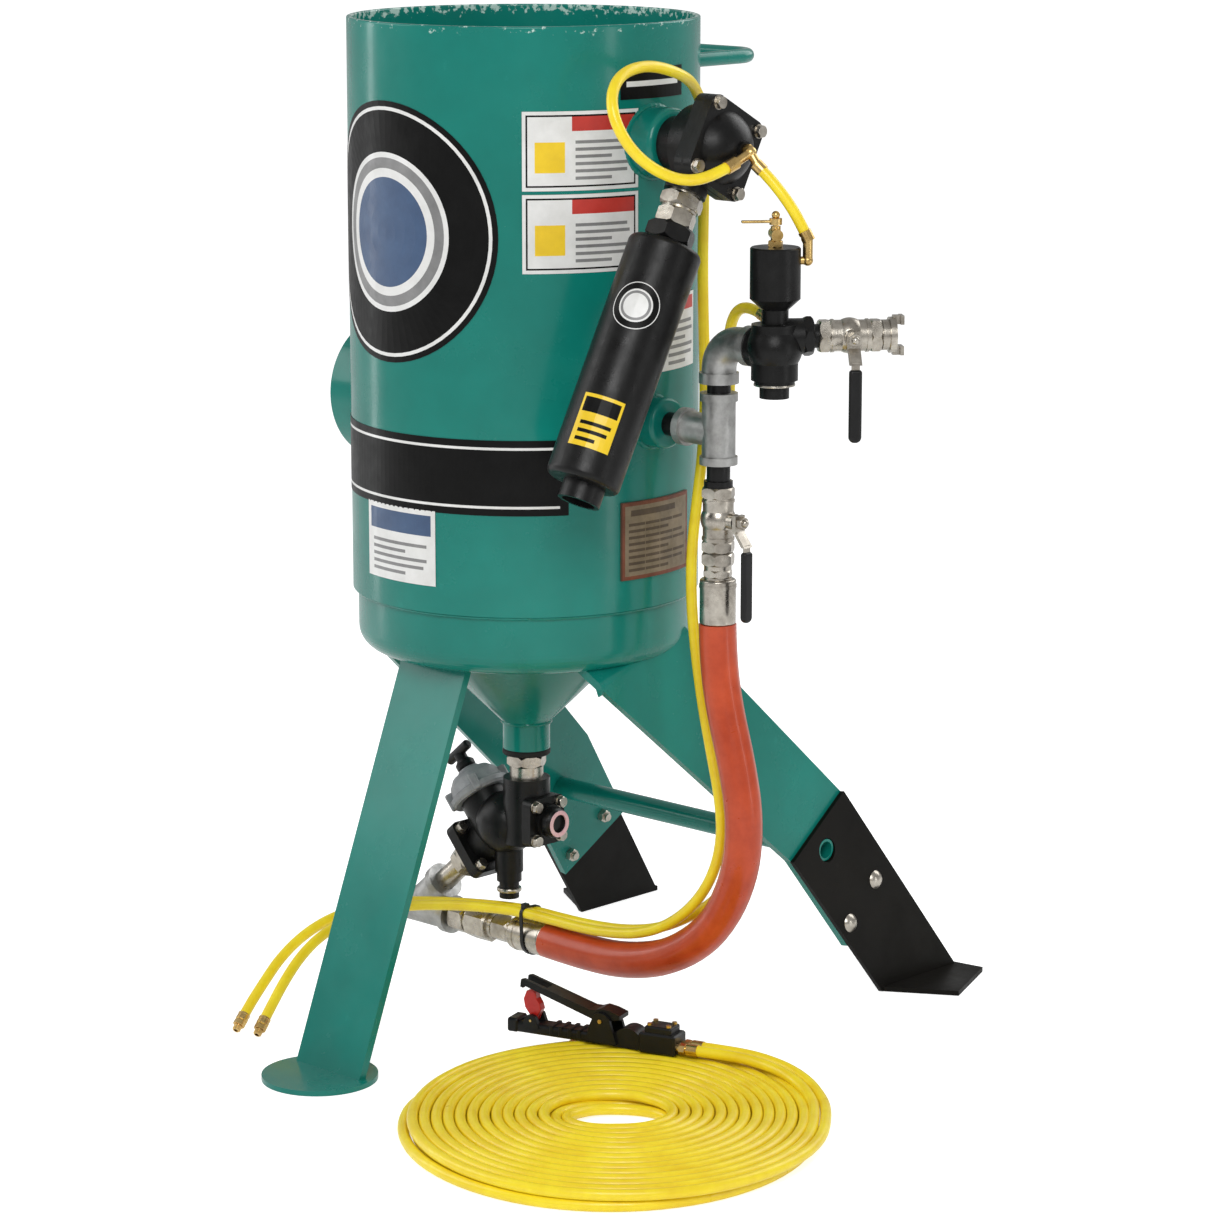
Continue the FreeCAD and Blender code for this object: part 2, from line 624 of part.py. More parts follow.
def make_inlet_valve_body():
    centre = V(INLET_VALVE_X, 0, INLET_VALVE_Z)
    parts = [cylinder(26, 62, centre - V(0, 0, 34)),
             Part.makeSphere(31, centre + V(0, 0, 2)),
             cylinder(21, VALVE_SPIGOT, centre - V(VALVE_SPIGOT, 0, 0), X_AXIS),
             cylinder(15, 20, centre + V(0, 0, 24)),
             cylinder(20, 34, CHOKE_AXIS_BASE, CHOKE_DIR),
             hexagon(40, 11, CHOKE_AXIS_BASE + CHOKE_DIR * (CHOKE_PORT - 11), CHOKE_DIR)]
    body = join(parts)
    body = body.cut(cylinder(VALVE_CHAMBER_R, 52, centre - V(0, 0, 34)))
    body = body.cut(cylinder(4.05, 60, centre))
    body = body.cut(cylinder(PIPE_BORE, 40, centre - V(40, 0, 0), X_AXIS))
    socket = CHOKE_AXIS_BASE + CHOKE_DIR * (CHOKE_PORT - THREAD)
    body = body.cut(cylinder(PIPE_R, THREAD + 5, socket, CHOKE_DIR))
    return body.cut(cylinder(PIPE_BORE, 60, CHOKE_AXIS_BASE, CHOKE_DIR))


def make_inlet_valve_cylinder():
    """Air cylinder on top of the inlet valve, open inside for its piston."""
    x = INLET_VALVE_X
    outer = lathe([(0, CYLINDER_LOW), (15, CYLINDER_LOW), (CYLINDER_R, CYLINDER_LOW + 12),
                   (CYLINDER_R, CYLINDER_HIGH - 1.5), (CYLINDER_R - 1.5, CYLINDER_HIGH),
                   (0, CYLINDER_HIGH)], V(x, 0, 0))
    outer = outer.cut(cylinder(23, 44, V(x, 0, CYLINDER_LOW + 18)))
    outer = outer.cut(cylinder(4.05, 30, V(x, 0, CYLINDER_LOW - 5)))
    return outer.cut(cylinder(4, 12, V(x, 0, CYLINDER_HIGH - 10)))


def make_inlet_valve_plunger():
    """Piston, rod and seat disc that lift together."""
    x = INLET_VALVE_X
    seat_z = INLET_VALVE_Z - 26
    piston_z = CYLINDER_LOW + 22
    seat = cylinder(VALVE_CHAMBER_R - 0.6, 8, V(x, 0, seat_z))
    rod = cylinder(4.0, piston_z - seat_z, V(x, 0, seat_z))
    piston = cylinder(PISTON_R, 12, V(x, 0, piston_z))
    return join([seat, rod, piston])


def make_bleeder_cock():
    x = INLET_VALVE_X
    spout = yawed(BLEEDER_YAW + 90)
    parts = [cylinder(4, 10, V(x, 0, CYLINDER_HIGH - 10)),
             hexagon(15, 7, V(x, 0, CYLINDER_HIGH)),
             cylinder(5.5, 17, V(x, 0, CYLINDER_HIGH + 6)),
             cylinder(6.5, 26, V(x, 0, CYLINDER_HIGH + 14) - spout * 13, spout)]
    body = join(parts)
    return body.cut(cylinder(3.05, 40, V(x, 0, BLEEDER_STEM_Z - 13)))


def make_bleeder_handle():
    x = INLET_VALVE_X
    stem = cylinder(3.0, 23, V(x, 0, BLEEDER_STEM_Z - 12.5))
    hub = cylinder(7.0, 7, V(x, 0, BLEEDER_STEM_Z + 0.5))
    knob = Part.makeSphere(4.6, V(x, 0, BLEEDER_STEM_Z + 11))
    arm = box((0, -3.5, -1.5), (38, 3.5, 1.5))
    arm = arm.makeFillet(1.2, arm.Edges)
    arm.rotate(ORIGIN, Z_AXIS, BLEEDER_YAW)
    arm.translate(V(x, 0, BLEEDER_STEM_Z + 4))
    return join([stem, hub, knob, arm])


def ball_valve_body(length):
    """Ball valve along +Z with its stem towards +X, and its middle at the origin."""
    half = length / 2
    parts = [cylinder(17.5, length - 24, V(0, 0, 12 - half)),
             Part.makeSphere(20.0, ORIGIN),
             hexagon(34, 13, V(0, 0, -half)), hexagon(34, 13, V(0, 0, half - 13)),
             cylinder(18.6, 3, V(0, 0, 14 - half)), cylinder(18.6, 3, V(0, 0, half - 17)),
             cylinder(9, 27, ORIGIN, X_AXIS)]
    body = join(parts)
    body = body.cut(cylinder(9.5, length, V(0, 0, -half)))
    body = body.cut(Part.makeSphere(BALL_R + 0.4, ORIGIN))
    for low in (-half, half - THREAD):
        body = body.cut(cylinder(PIPE_R, THREAD, V(0, 0, low)))
    return body.cut(cylinder(BALL_STEM_R + 0.05, 60, ORIGIN, X_AXIS))


def ball_valve_lever():
    """Ball, stem, nut and cranked steel lever that hangs towards -Z."""
    ball = Part.makeSphere(BALL_R, ORIGIN).cut(cylinder(9.5, 40, V(0, 0, -20)))
    stem = cylinder(BALL_STEM_R, 24, V(BALL_R - 2, 0, 0), X_AXIS)
    nut = hexagon(13, 7, V(33, 0, 0), X_AXIS)
    dome = Part.makeSphere(4.6, V(40, 0, 0))
    hub = box((28, -8, -12), (33, 8, 8))
    neck = plate_xz([(28, -10), (33, -10), (46, -27), (41, -27)], 7)
    blade = box((41.5, -GRIP_BLADE / 2, -LEVER_LENGTH), (44.5, GRIP_BLADE / 2, -24))
    return join([ball, stem, nut, dome, hub, neck, blade])


def plate_xz(outline, half_width):
    points = [V(x, -half_width, z) for x, z in outline]
    return Part.Face(Part.makePolygon(points + points[:1])).extrude(V(0, 2 * half_width, 0))


def ball_valve_grip():
    """Dipped vinyl sleeve on the lever's blade."""
    sleeve = box((38.6, -7.2, -LEVER_LENGTH - 5), (47.4, 7.2, -32))
    ends = [edge for edge in sleeve.Edges if edge.BoundBox.XLength > 8 and edge.BoundBox.ZMax < -LEVER_LENGTH]
    sleeve = sleeve.makeFillet(6.5, ends)
    sleeve = sleeve.makeFillet(3.6, sleeve.Edges)
    return sleeve.cut(box((41.5, -GRIP_BLADE / 2, -LEVER_LENGTH), (44.5, GRIP_BLADE / 2, -20)))


MAIN_CENTRE = V(COLUMN_X, 0, (MAIN_LOW + MAIN_HIGH) / 2)
CHOKE_CENTRE = CHOKE_AXIS_BASE + CHOKE_DIR * (CHOKE_FROM + CHOKE_LENGTH / 2)


def on_main_valve(shape):
    shape = shape.copy()
    shape.translate(MAIN_CENTRE)
    return shape


def choke_frame():
    """Valve frame on the air supply: its bore along the supply line, its stem level and facing outwards."""
    stem = yawed(CHOKE_YAW - 90)
    turn = FreeCAD.Rotation(stem, CHOKE_DIR.cross(stem), CHOKE_DIR, "XYZ")
    return FreeCAD.Placement(CHOKE_CENTRE, turn)


def on_choke_valve(shape):
    shape = shape.copy()
    shape.Placement = choke_frame().multiply(shape.Placement)
    return shape


def closed_lever(shape):
    """The supply valve's lever stands across its bore, so it is turned about the stem to hang down."""
    shape = shape.copy()
    shape.rotate(ORIGIN, X_AXIS, 90)
    return shape


def make_claw_coupling():
    """Quarter-turn coupling half for the supply hose, with its nipple."""
    base = CHOKE_CENTRE + CHOKE_DIR * (CHOKE_LENGTH / 2)
    parts = [cylinder(PIPE_R, THREAD + 2, base - CHOKE_DIR * THREAD, CHOKE_DIR),
             cylinder(17, 9, base + CHOKE_DIR, CHOKE_DIR),
             cylinder(20, 7, base + CHOKE_DIR * 9, CHOKE_DIR)]
    for sign in (-1, 1):
        claw = Part.makeBox(12, 9, 10, V(0, -4.5, -5))
        claw = claw.fuse(Part.makeBox(4, 18, 10, V(8, -9, -5)))
        claw.rotate(ORIGIN, Z_AXIS, CHOKE_YAW)
        claw.translate(base + CHOKE_DIR * 13 + V(0, 0, sign * 17))
        parts.append(claw)
    return join(parts).cut(cylinder(CLAW_BORE, 80, base - CHOKE_DIR * 20, CHOKE_DIR))


# Each coupling from its thread to its ferrule: shape, half width (or width across flats) and length.
UPPER_COUPLING = (("round", PIPE_R, 13.0), ("hexagon", 34.0, 14.0), ("round", 15.5, 5.0),
                  ("hexagon", 30.0, 9.0), ("round", 16.0, 2.0))
LOWER_COUPLING = (("round", PIPE_R, 16.0), ("hexagon", 34.0, 24.0), ("round", 15.5, 6.0),
                  ("hexagon", 38.0, 34.0), ("round", 16.0, 8.0), ("hexagon", 30.0, 26.0),
                  ("round", 16.0, 6.0))


def hose_coupling(segments, base, axis):
    """Swivel coupling ending in the ferrule that is crimped on the hose."""
    parts = []
    at = 0.0
    for form, size, length in segments:
        if form == "round":
            parts.append(cylinder(size, length, base + axis * at, axis))
        else:
            parts.append(hexagon(size, length, base + axis * at, axis))
        at += length
    ferrule = cylinder(FERRULE_R, FERRULE_LENGTH, base + axis * at, axis)
    parts.append(ferrule.makeFillet(2.5, end_rims(ferrule)))
    parts.append(cylinder(FERRULE_R + 0.7, 4, base + axis * (at + 6), axis))
    return join(parts).cut(cylinder(9.5, at + FERRULE_LENGTH + 2, base - axis, axis))


def coupling_length(segments):
    return sum(length for form, size, length in segments) + FERRULE_LENGTH


def make_hose_couplings():
    upper = hose_coupling(UPPER_COUPLING, V(COLUMN_X, 0, MAIN_LOW + THREAD), V(0, 0, -1))
    lower = hose_coupling(LOWER_COUPLING, V(WYE_MOUTH_X - THREAD, 0, PUSHER_Z), X_AXIS)
    return Part.Compound([upper, lower])


WYE_MOUTH_X = WYE_X + 62.0
WYE_TAIL_X = WYE_X - 48.0
PUSHER_TOP_Z = MAIN_LOW + THREAD - coupling_length(UPPER_COUPLING)
PUSHER_END_X = WYE_MOUTH_X - THREAD + coupling_length(LOWER_COUPLING)
PUSHER_ROUTE = [(COLUMN_X, 0, PUSHER_TOP_Z), (305, 0, 482), (316, 0, 425), (335, 0, 365), (348, 0, 300),
                (340, 0, 232), (303, 0, 166), (240, 0, 120), (168, 0, 99), (98, 0, 95),
                (PUSHER_END_X, 0, PUSHER_Z)]


def make_pusher_wye():
    """Malleable-iron wye that joins the air line and the abrasive line."""
    centre = V(WYE_X, 0, PUSHER_Z)
    tail = V(WYE_TAIL_X, 0, PUSHER_Z)
    length = WYE_MOUTH_X - WYE_TAIL_X
    branch = METER_OUT * -1
    parts = [cylinder(20, length, tail, X_AXIS),
             cylinder(23.5, 10, tail, X_AXIS),
             cylinder(23.5, 10, V(WYE_MOUTH_X - 10, 0, PUSHER_Z), X_AXIS),
             cylinder(20, WYE_BRANCH, centre, branch),
             cylinder(23.5, 10, centre + branch * (WYE_BRANCH - 10), branch)]
    bores = [cylinder(PIPE_BORE, length, tail, X_AXIS),
             cylinder(PIPE_BORE, WYE_BRANCH, centre, branch),
             cylinder(PIPE_R, THREAD, centre + branch * (WYE_BRANCH - THREAD), branch),
             cylinder(PIPE_R, THREAD, tail, X_AXIS),
             cylinder(PIPE_R, THREAD, V(WYE_MOUTH_X - THREAD, 0, PUSHER_Z), X_AXIS)]
    return join(parts).cut(join(bores))


def make_blast_coupling():
    """Quick coupling half for the blast hose."""
    toward = V(-1, 0, 0)
    start = V(WYE_TAIL_X + THREAD, 0, PUSHER_Z)
    parts = [cylinder(PIPE_R, THREAD + 3, start, toward),
             hexagon(40, 14, start + toward * (THREAD + 2), toward),
             cylinder(19, 14, start + toward * (THREAD + 15), toward),
             cylinder(26, 12, start + toward * (THREAD + 28), toward)]
    for sign in (-1, 1):
        low_x = start.x - THREAD - 52
        parts.append(box((low_x, sign * 20 - 6, PUSHER_Z - 11), (low_x + 18, sign * 20 + 6, PUSHER_Z + 11)))
    return join(parts).cut(cylinder(BLAST_BORE, 120, start, toward))


# ---------------------------------------------------------------- outlet valve and silencer

def tilted(shape):
    """Turn a piece of the outlet valve about the valve's own level axis."""
    shape = shape.copy()
    shape.rotate(V(0, 0, OUTLET_Z), X_AXIS, -OUTLET_TILT)
    return shape


def bonnet_block(x_low, x_high):
    block = box((x_low, -BONNET_HALF, OUTLET_Z - BONNET_HALF), (x_high, BONNET_HALF, OUTLET_Z + BONNET_HALF))
    corners = [edge for edge in block.Edges if edge.BoundBox.XLength > 1 and edge.BoundBox.YLength < 0.1]
    return block.makeFillet(14.0, corners)


def bolt_holes(radius):
    holes = []
    for y in (-BOLT_HALF, BOLT_HALF):
        for z in (-BOLT_HALF, BOLT_HALF):
            holes.append(cylinder(radius, 80, V(260, y, OUTLET_Z + z), X_AXIS))
    return Part.Compound(holes)


def make_outlet_valve_body():
    parts = [cylinder(31, 32, V(OUTLET_BOSS_OUT, 0, OUTLET_Z), X_AXIS),
             cylinder(46, 34, V(BODY_X - 34, 0, OUTLET_Z), X_AXIS),
             bonnet_block(BODY_X - 11, BODY_X),
             cylinder(24, 58, V(EXHAUST_X, 0, OUTLET_Z), V(0, 0, -1))]
    body = join(parts)
    body = body.cut(cylinder(17, 60, V(200, 0, OUTLET_Z), X_AXIS))
    body = body.cut(cylinder(36, 24, V(BODY_X - 24, 0, OUTLET_Z), X_AXIS))
    body = body.cut(cylinder(16, 70, V(EXHAUST_X, 0, OUTLET_Z), V(0, 0, -1)))
    body = body.cut(bolt_holes(4.0))
    return tilted(body.removeSplitter())


def make_outlet_valve_bonnet():
    plate = bonnet_block(BODY_X + 3, BODY_X + 14)
    dome = Part.makeSphere(46.0, V(BODY_X - 8, 0, OUTLET_Z)).common(
        box((BODY_X + 10, -50, OUTLET_Z - 50), (BODY_X + 60, 50, OUTLET_Z + 50)))
    boss = cylinder(9.5, 12, V(BODY_X + 30, 0, OUTLET_Z), X_AXIS)
    bonnet = join([plate, dome, boss])
    bonnet = bonnet.cut(cylinder(32, 14, V(BODY_X, 0, OUTLET_Z), X_AXIS))
    bonnet = bonnet.cut(cylinder(4.5, 60, V(BODY_X, 0, OUTLET_Z), X_AXIS))
    return tilted(bonnet.cut(bolt_holes(4.0)))


def make_outlet_diaphragm():
    """Seat disc that slides between the vessel port and the bonnet."""
    disc = cylinder(29, 8, V(BODY_X - 14, 0, OUTLET_Z), X_AXIS)
    stud = cylinder(6, 10, V(BODY_X - 7, 0, OUTLET_Z), X_AXIS)
    return tilted(join([disc, stud]))


def make_diaphragm_gasket():
    ring = bonnet_block(BODY_X, BODY_X + 3).cut(cylinder(34, 20, V(BODY_X - 5, 0, OUTLET_Z), X_AXIS))
    return tilted(ring.cut(bolt_holes(4.0)))


METER_LEAN = math.radians(WYE_ANGLE)
METER_CENTRE = V(METER_X, 0, PUSHER_Z + (METER_X - WYE_X) * math.tan(METER_LEAN))
METER_OUT = V(-math.cos(METER_LEAN), 0, -math.sin(METER_LEAN))
METER_SIDE = V(-math.sin(METER_LEAN), 0, math.cos(METER_LEAN))
METER_TOP_Z = NECK_BOTTOM_Z - 36.0
PLUNGER_FROM = METER_CENTRE + METER_OUT * PLUNGER_SHIFT
PLUG_X = METER_X + 3.0


def metering_bolt_spots():
    """Start and direction of the bolts through the metering valve's outlet flange and side flange."""
    spots = []
    for along in (-1, 1):
        for across in (-1, 1):
            outlet = METER_CENTRE + METER_OUT * (METER_FLANGE_AT + METER_FLANGE_T)
            outlet += METER_SIDE * along * (METER_FLANGE_HALF[0] - 10)
            spots.append((outlet + V(0, across * (METER_FLANGE_HALF[1] - 10), 0), -METER_OUT))
            spots.append((CAP_BASE + V(0, along * CAP_BOLT_HALF, across * CAP_BOLT_HALF), X_AXIS))
    return spots


def bolt(length, head_af, base, axis):
    """Shank from base, with a hexagon head and washer beyond its end."""
    shank = cylinder(4.0, length, base, axis)
    washer = cylinder(head_af * 0.62, 1.8, base + axis * length, axis)
    head = hexagon(head_af, 6, base + axis * (length + 1.8), axis)
    return join([shank, washer, head])


def make_valve_bolts():
    """Bolts of the outlet valve's bonnet and of the metering valve's two flanges."""
    bolts = []
    for y in (-BOLT_HALF, BOLT_HALF):
        for z in (-BOLT_HALF, BOLT_HALF):
            bolts.append(tilted(bolt(25, 13, V(BODY_X - 11, y, OUTLET_Z + z), X_AXIS)))
    for spot, axis in metering_bolt_spots():
        bolts.append(bolt(METER_FLANGE_T, 12, spot, axis))
    return Part.Compound(bolts)


EXHAUST_DIR = V(0, -math.sin(math.radians(OUTLET_TILT)), -math.cos(math.radians(OUTLET_TILT)))
EXHAUST_FROM = V(EXHAUST_X, 0, OUTLET_Z)


def along_exhaust(distance):
    return EXHAUST_FROM + EXHAUST_DIR * distance


def make_exhaust_union():
    """Union nut and bush that screw into the outlet valve's exhaust neck."""
    parts = [cylinder(16, NECK_REACH - 49, along_exhaust(50), EXHAUST_DIR),
             cylinder(18, 3, along_exhaust(NECK_REACH), EXHAUST_DIR),
             hexagon(44, 15, along_exhaust(NECK_REACH + 3), EXHAUST_DIR),
             cylinder(20, 4, along_exhaust(NECK_REACH + 17), EXHAUST_DIR),
             hexagon(40, UNION_END - NECK_REACH - 21, along_exhaust(NECK_REACH + 21), EXHAUST_DIR)]
    return join(parts).cut(cylinder(SILENCER_BORE, 70, along_exhaust(40), EXHAUST_DIR))


def make_silencer():
    """Hexagon bush, shell with rounded end caps, and the smaller tail outlet."""
    shell = cylinder(SILENCER_R, SILENCER_END - SILENCER_FROM, along_exhaust(SILENCER_FROM), EXHAUST_DIR)
    shell = shell.makeFillet(7.0, end_rims(shell))
    sideways = V(0, EXHAUST_DIR.z, -EXHAUST_DIR.y) * -5
    tail_at = along_exhaust(SILENCER_END - 2) + sideways
    parts = [hexagon(50, SILENCER_FROM - UNION_END - 3, along_exhaust(UNION_END), EXHAUST_DIR),
             cylinder(22, 6, along_exhaust(SILENCER_FROM - 4), EXHAUST_DIR),
             shell,
             cylinder(24, 22, tail_at, EXHAUST_DIR)]
    hollow_length = SILENCER_END - SILENCER_FROM - 12
    hollow = cylinder(SILENCER_R - 4, hollow_length, along_exhaust(SILENCER_FROM + 6), EXHAUST_DIR)
    body = join(parts).cut(hollow)
    body = body.cut(cylinder(SILENCER_BORE, 40, along_exhaust(UNION_END - 5), EXHAUST_DIR))
    return body.cut(cylinder(19, 40, tail_at - EXHAUST_DIR * 12, EXHAUST_DIR))


# ---------------------------------------------------------------- metering valve

def square_flange(centre, normal, half_up, half_across, thickness):
    """Four-cornered plate with two sides level and parallel to Y."""
    up = normal.cross(Y_AXIS) * half_up
    side = Y_AXIS * half_across
    corners = [centre - up - side, centre - up + side, centre + up + side, centre + up - side]
    plate = Part.Face(Part.makePolygon(corners + corners[:1])).extrude(normal * thickness)
    posts = [edge for edge in plate.Edges if abs(edge.Length - thickness) < 0.01]
    return plate.makeFillet(9.0, posts)


def make_metering_nipple():
    """Hexagon nipple between the vessel's neck and the metering valve."""
    parts = [cylinder(NECK_BORE, 30, V(0, 0, NECK_BOTTOM_Z - 8)),
             cylinder(19, 8, V(0, 0, NECK_BOTTOM_Z - 8)),
             hexagon(42, 14, V(0, 0, NECK_BOTTOM_Z - 22)),
             cylinder(NECK_BORE, 30, V(0, 0, METER_TOP_Z - 14)),
             cylinder(20, 14, V(0, 0, METER_TOP_Z))]
    return join(parts).cut(cylinder(12.5, 90, V(0, 0, NECK_BOTTOM_Z - 60)))


def make_metering_body():
    """Cast body with its inlet on top, outlet flange towards the wye, side cap flange and bottom boss."""
    parts = [cylinder(28, METER_TOP_Z - 214, V(0, 0, 214)),
             Part.makeSphere(38, METER_CENTRE),
             cylinder(25, METER_FLANGE_AT + METER_FLANGE_T, METER_CENTRE, METER_OUT),
             square_flange(METER_CENTRE + METER_OUT * METER_FLANGE_AT, METER_OUT, *METER_FLANGE_HALF,
                           METER_FLANGE_T),
             cylinder(29, BONNET_AT, PLUNGER_FROM, METER_SIDE),
             cylinder(24, -METER_X + CAP_BASE.x, V(METER_X, 0, CAP_BASE.z - 6), X_AXIS),
             square_flange(CAP_BASE, X_AXIS, CAP_FLANGE_HALF, CAP_FLANGE_HALF, METER_FLANGE_T),
             cylinder(21, 21, CAP_BASE, X_AXIS),
             cylinder(17, 40, V(PLUG_X, 0, 172))]
    bores = [cylinder(NECK_BORE, 14, V(0, 0, METER_TOP_Z - 14)),
             cylinder(12.5, 50, V(0, 0, METER_TOP_Z - 50)),
             cylinder(13, 30, V(METER_X, 0, METER_CENTRE.z + 12), X_AXIS),
             cylinder(METER_BORE, BONNET_AT + 20, PLUNGER_FROM - METER_SIDE * 10, METER_SIDE),
             cylinder(12, 80, METER_CENTRE, METER_OUT),
             cylinder(10, 60, V(PLUG_X, 0, 172))]
    for spot, axis in metering_bolt_spots():
        bores.append(cylinder(4.0, METER_FLANGE_T, spot, axis))
    body = join(parts)
    for bore in bores:
        body = body.cut(bore)
    return body


def make_meter_union():
    """Union nut and nipple from the metering valve's flange down to the wye."""
    start = METER_CENTRE + METER_OUT * (METER_FLANGE_AT + METER_FLANGE_T)
    socket = V(WYE_X, 0, PUSHER_Z) - METER_OUT * (WYE_BRANCH - THREAD)
    reach = (socket - start).Length
    parts = [cylinder(PIPE_R, reach, start, METER_OUT),
             hexagon(42, 18, start, METER_OUT),
             cylinder(18, 4, start + METER_OUT * 17, METER_OUT),
             hexagon(36, 14, start + METER_OUT * 20, METER_OUT)]
    return join(parts).cut(cylinder(PIPE_BORE, reach + 20, start - METER_OUT * 10, METER_OUT))


def make_metering_bonnet():
    """Cast cap that guides the metering plunger: a bolted foot, four ribs and a shoulder under the knob."""
    base = PLUNGER_FROM + METER_SIDE * BONNET_AT
    outline = [(0, 0), (36, 0), (38, 3), (38, 9), (34, 12), (31, 24), (24, 32), (15, 35), (13, 38), (0, 38)]
    parts = [lathe(outline, base, METER_SIDE)]
    for i in range(4):
        rib = box((20, -5, 0), (41, 5, 22))
        rib = rib.makeFillet(3.0, rib.Edges)
        rib.rotate(ORIGIN, Z_AXIS, 45 + 90 * i)
        parts.append(aim(rib, base, METER_SIDE))
    cap = join(parts).cut(cylinder(20, 20, base, METER_SIDE))
    return cap.cut(cylinder(6.05, 50, base, METER_SIDE))


def make_metering_plunger():
    """Plunger whose end opens or closes the abrasive port."""
    low = PLUNGER_FROM + METER_SIDE * 14
    slug = cylinder(METER_BORE - 0.06, BONNET_AT - 16, low, METER_SIDE)
    boss = cylinder(10, 8, low + METER_SIDE * (BONNET_AT - 17), METER_SIDE)
    return join([slug, boss])


def make_metering_knob():
    """Threaded stem with a tee-shaped hand knob."""
    base = PLUNGER_FROM + METER_SIDE * BONNET_AT
    across = Y_AXIS.cross(METER_SIDE)
    stem = cylinder(6.0, 36, base + METER_SIDE * 8, METER_SIDE)
    hub = lathe([(0, 0), (10, 0), (12, 3), (12, 9), (8, 13), (0, 13)], base + METER_SIDE * 38, METER_SIDE)
    neck = cylinder(7.5, 12, base + METER_SIDE * 48, METER_SIDE)
    bar = cylinder(6.0, 44, base + METER_SIDE * 62 - across * 22, across)
    bar = bar.makeFillet(3.5, end_rims(bar))
    return join([stem, hub, neck, bar])


def make_bottom_plugs():
    """Clean-out plugs of the metering valve and the air inlet valve, and the metering valve's side cap."""
    meter = join([cylinder(10, 20, V(PLUG_X, 0, 162)), cylinder(15, 12, V(PLUG_X, 0, 160)),
                  cylinder(12, 22, V(PLUG_X, 0, 139))])
    low = INLET_VALVE_Z - 34
    inlet = join([cylinder(VALVE_CHAMBER_R, 8, V(INLET_VALVE_X, 0, low - 3)),
                  cylinder(22.5, 6, V(INLET_VALVE_X, 0, low - 6)),
                  cylinder(16.5, 14, V(INLET_VALVE_X, 0, low - 20))])
    outline = [(0, 0), (18, 0), (18, 9), (15, 12), (11, 12.5), (10, 9), (0, 9)]
    side = lathe(outline, CAP_BASE + V(21, 0, 0), X_AXIS)
    return Part.Compound([meter, inlet, side])


# ---------------------------------------------------------------- small hoses and their fittings


HOSE_A_ROUTE = [tuple(HOSE_A_START), (341, -54, 1037), (332, -87, 1033), (319, -119, 1045), (306, -145, 1068),
                (294, -158, 1098), (283, -154, 1125), (274, -134, 1144), (268, -104, 1153), (264, -68, 1154),
                (261, -24, 1144), (247, 20, 1128), (228, 58, 1091), (215, 73, 1038), (211, 76, 980),
                (211, 75, 920), (214, 73, 864), (221, 68, 808), (229, 60, 752), (236, 48, 700),
                (240, 34, 648), (238, 28, 592), (241, 25, 536), (248, 25, 480), (260, 23, 424),
                (278, 19, 368), (296, 14, 318), (305, 9, 274), (298, 3, 230), (274, -2, 190),
                (237, -6, 159), (194, -8, 140), (146, -9, 131), (96, -10, 128), (46, -11, 129),
                (-6, -19, 131), (-58, -34, 129), (-106, -48, 124), (-146, -63, 118), (-173, -88, 112),
                (-186, -122, 104), (-187, -164, 94), (-180, -204, 78), (-168, -242, 57), (-159, -272, 34),
                (-153, -292, 18)]
HOSE_B_ROUTE = [tuple(HOSE_B_START), (317, 42, 881), (288, 51, 878), (269, 58, 858), (264, 61, 828),
                (266, 61, 792), (267, 58, 746), (265, 51, 696), (259, 44, 644), (254, 41, 588),
                (255, 40, 530), (262, 39, 474), (275, 36, 418), (293, 32, 366), (310, 28, 320),
                (320, 25, 276), (313, 24, 232), (288, 21, 194), (249, 16, 166), (207, 10, 145),
                (160, 6, 134), (108, 5, 129), (56, 4, 128), (4, 2, 129), (-46, -9, 127),
                (-98, -26, 124), (-145, -43, 120), (-181, -61, 114), (-204, -92, 108), (-213, -130, 101),
                (-213, -172, 89), (-206, -214, 72), (-196, -250, 51), (-188, -280, 32), (-183, -298, 18)]
LINK_ROUTE = [tuple(LINK_START), (374, 3, 1033), (389, 11, 1013), (402, 19, 990), tuple(LINK_END)]


def hose_tip(route):
    """Brass screw end on a small hose."""
    end = V(*route[-1])
    axis = (end - V(*route[-2])).normalize()
    tip = join([cylinder(7.4, 10, end - axis * 10, axis),
                hexagon(13, 7, end, axis),
                cylinder(5.0, 7, end + axis * 7, axis)])
    tip = tip.cut(cylinder(HOSE_R, 10, end - axis * 10, axis))
    return tip.cut(cylinder(2.5, 30, end, axis))


def sleeve(start, toward, length):
    """Crimped sleeve over the first part of a hose that leaves start towards a point."""
    axis = (V(*toward) - start).normalize()
    return tube(7.4, HOSE_R, length, start, axis).fuse(cylinder(7.4, 3, start - axis * 3, axis))


def stub(radius, start, end):
    return cylinder(radius, (end - start).Length, start, end - start)


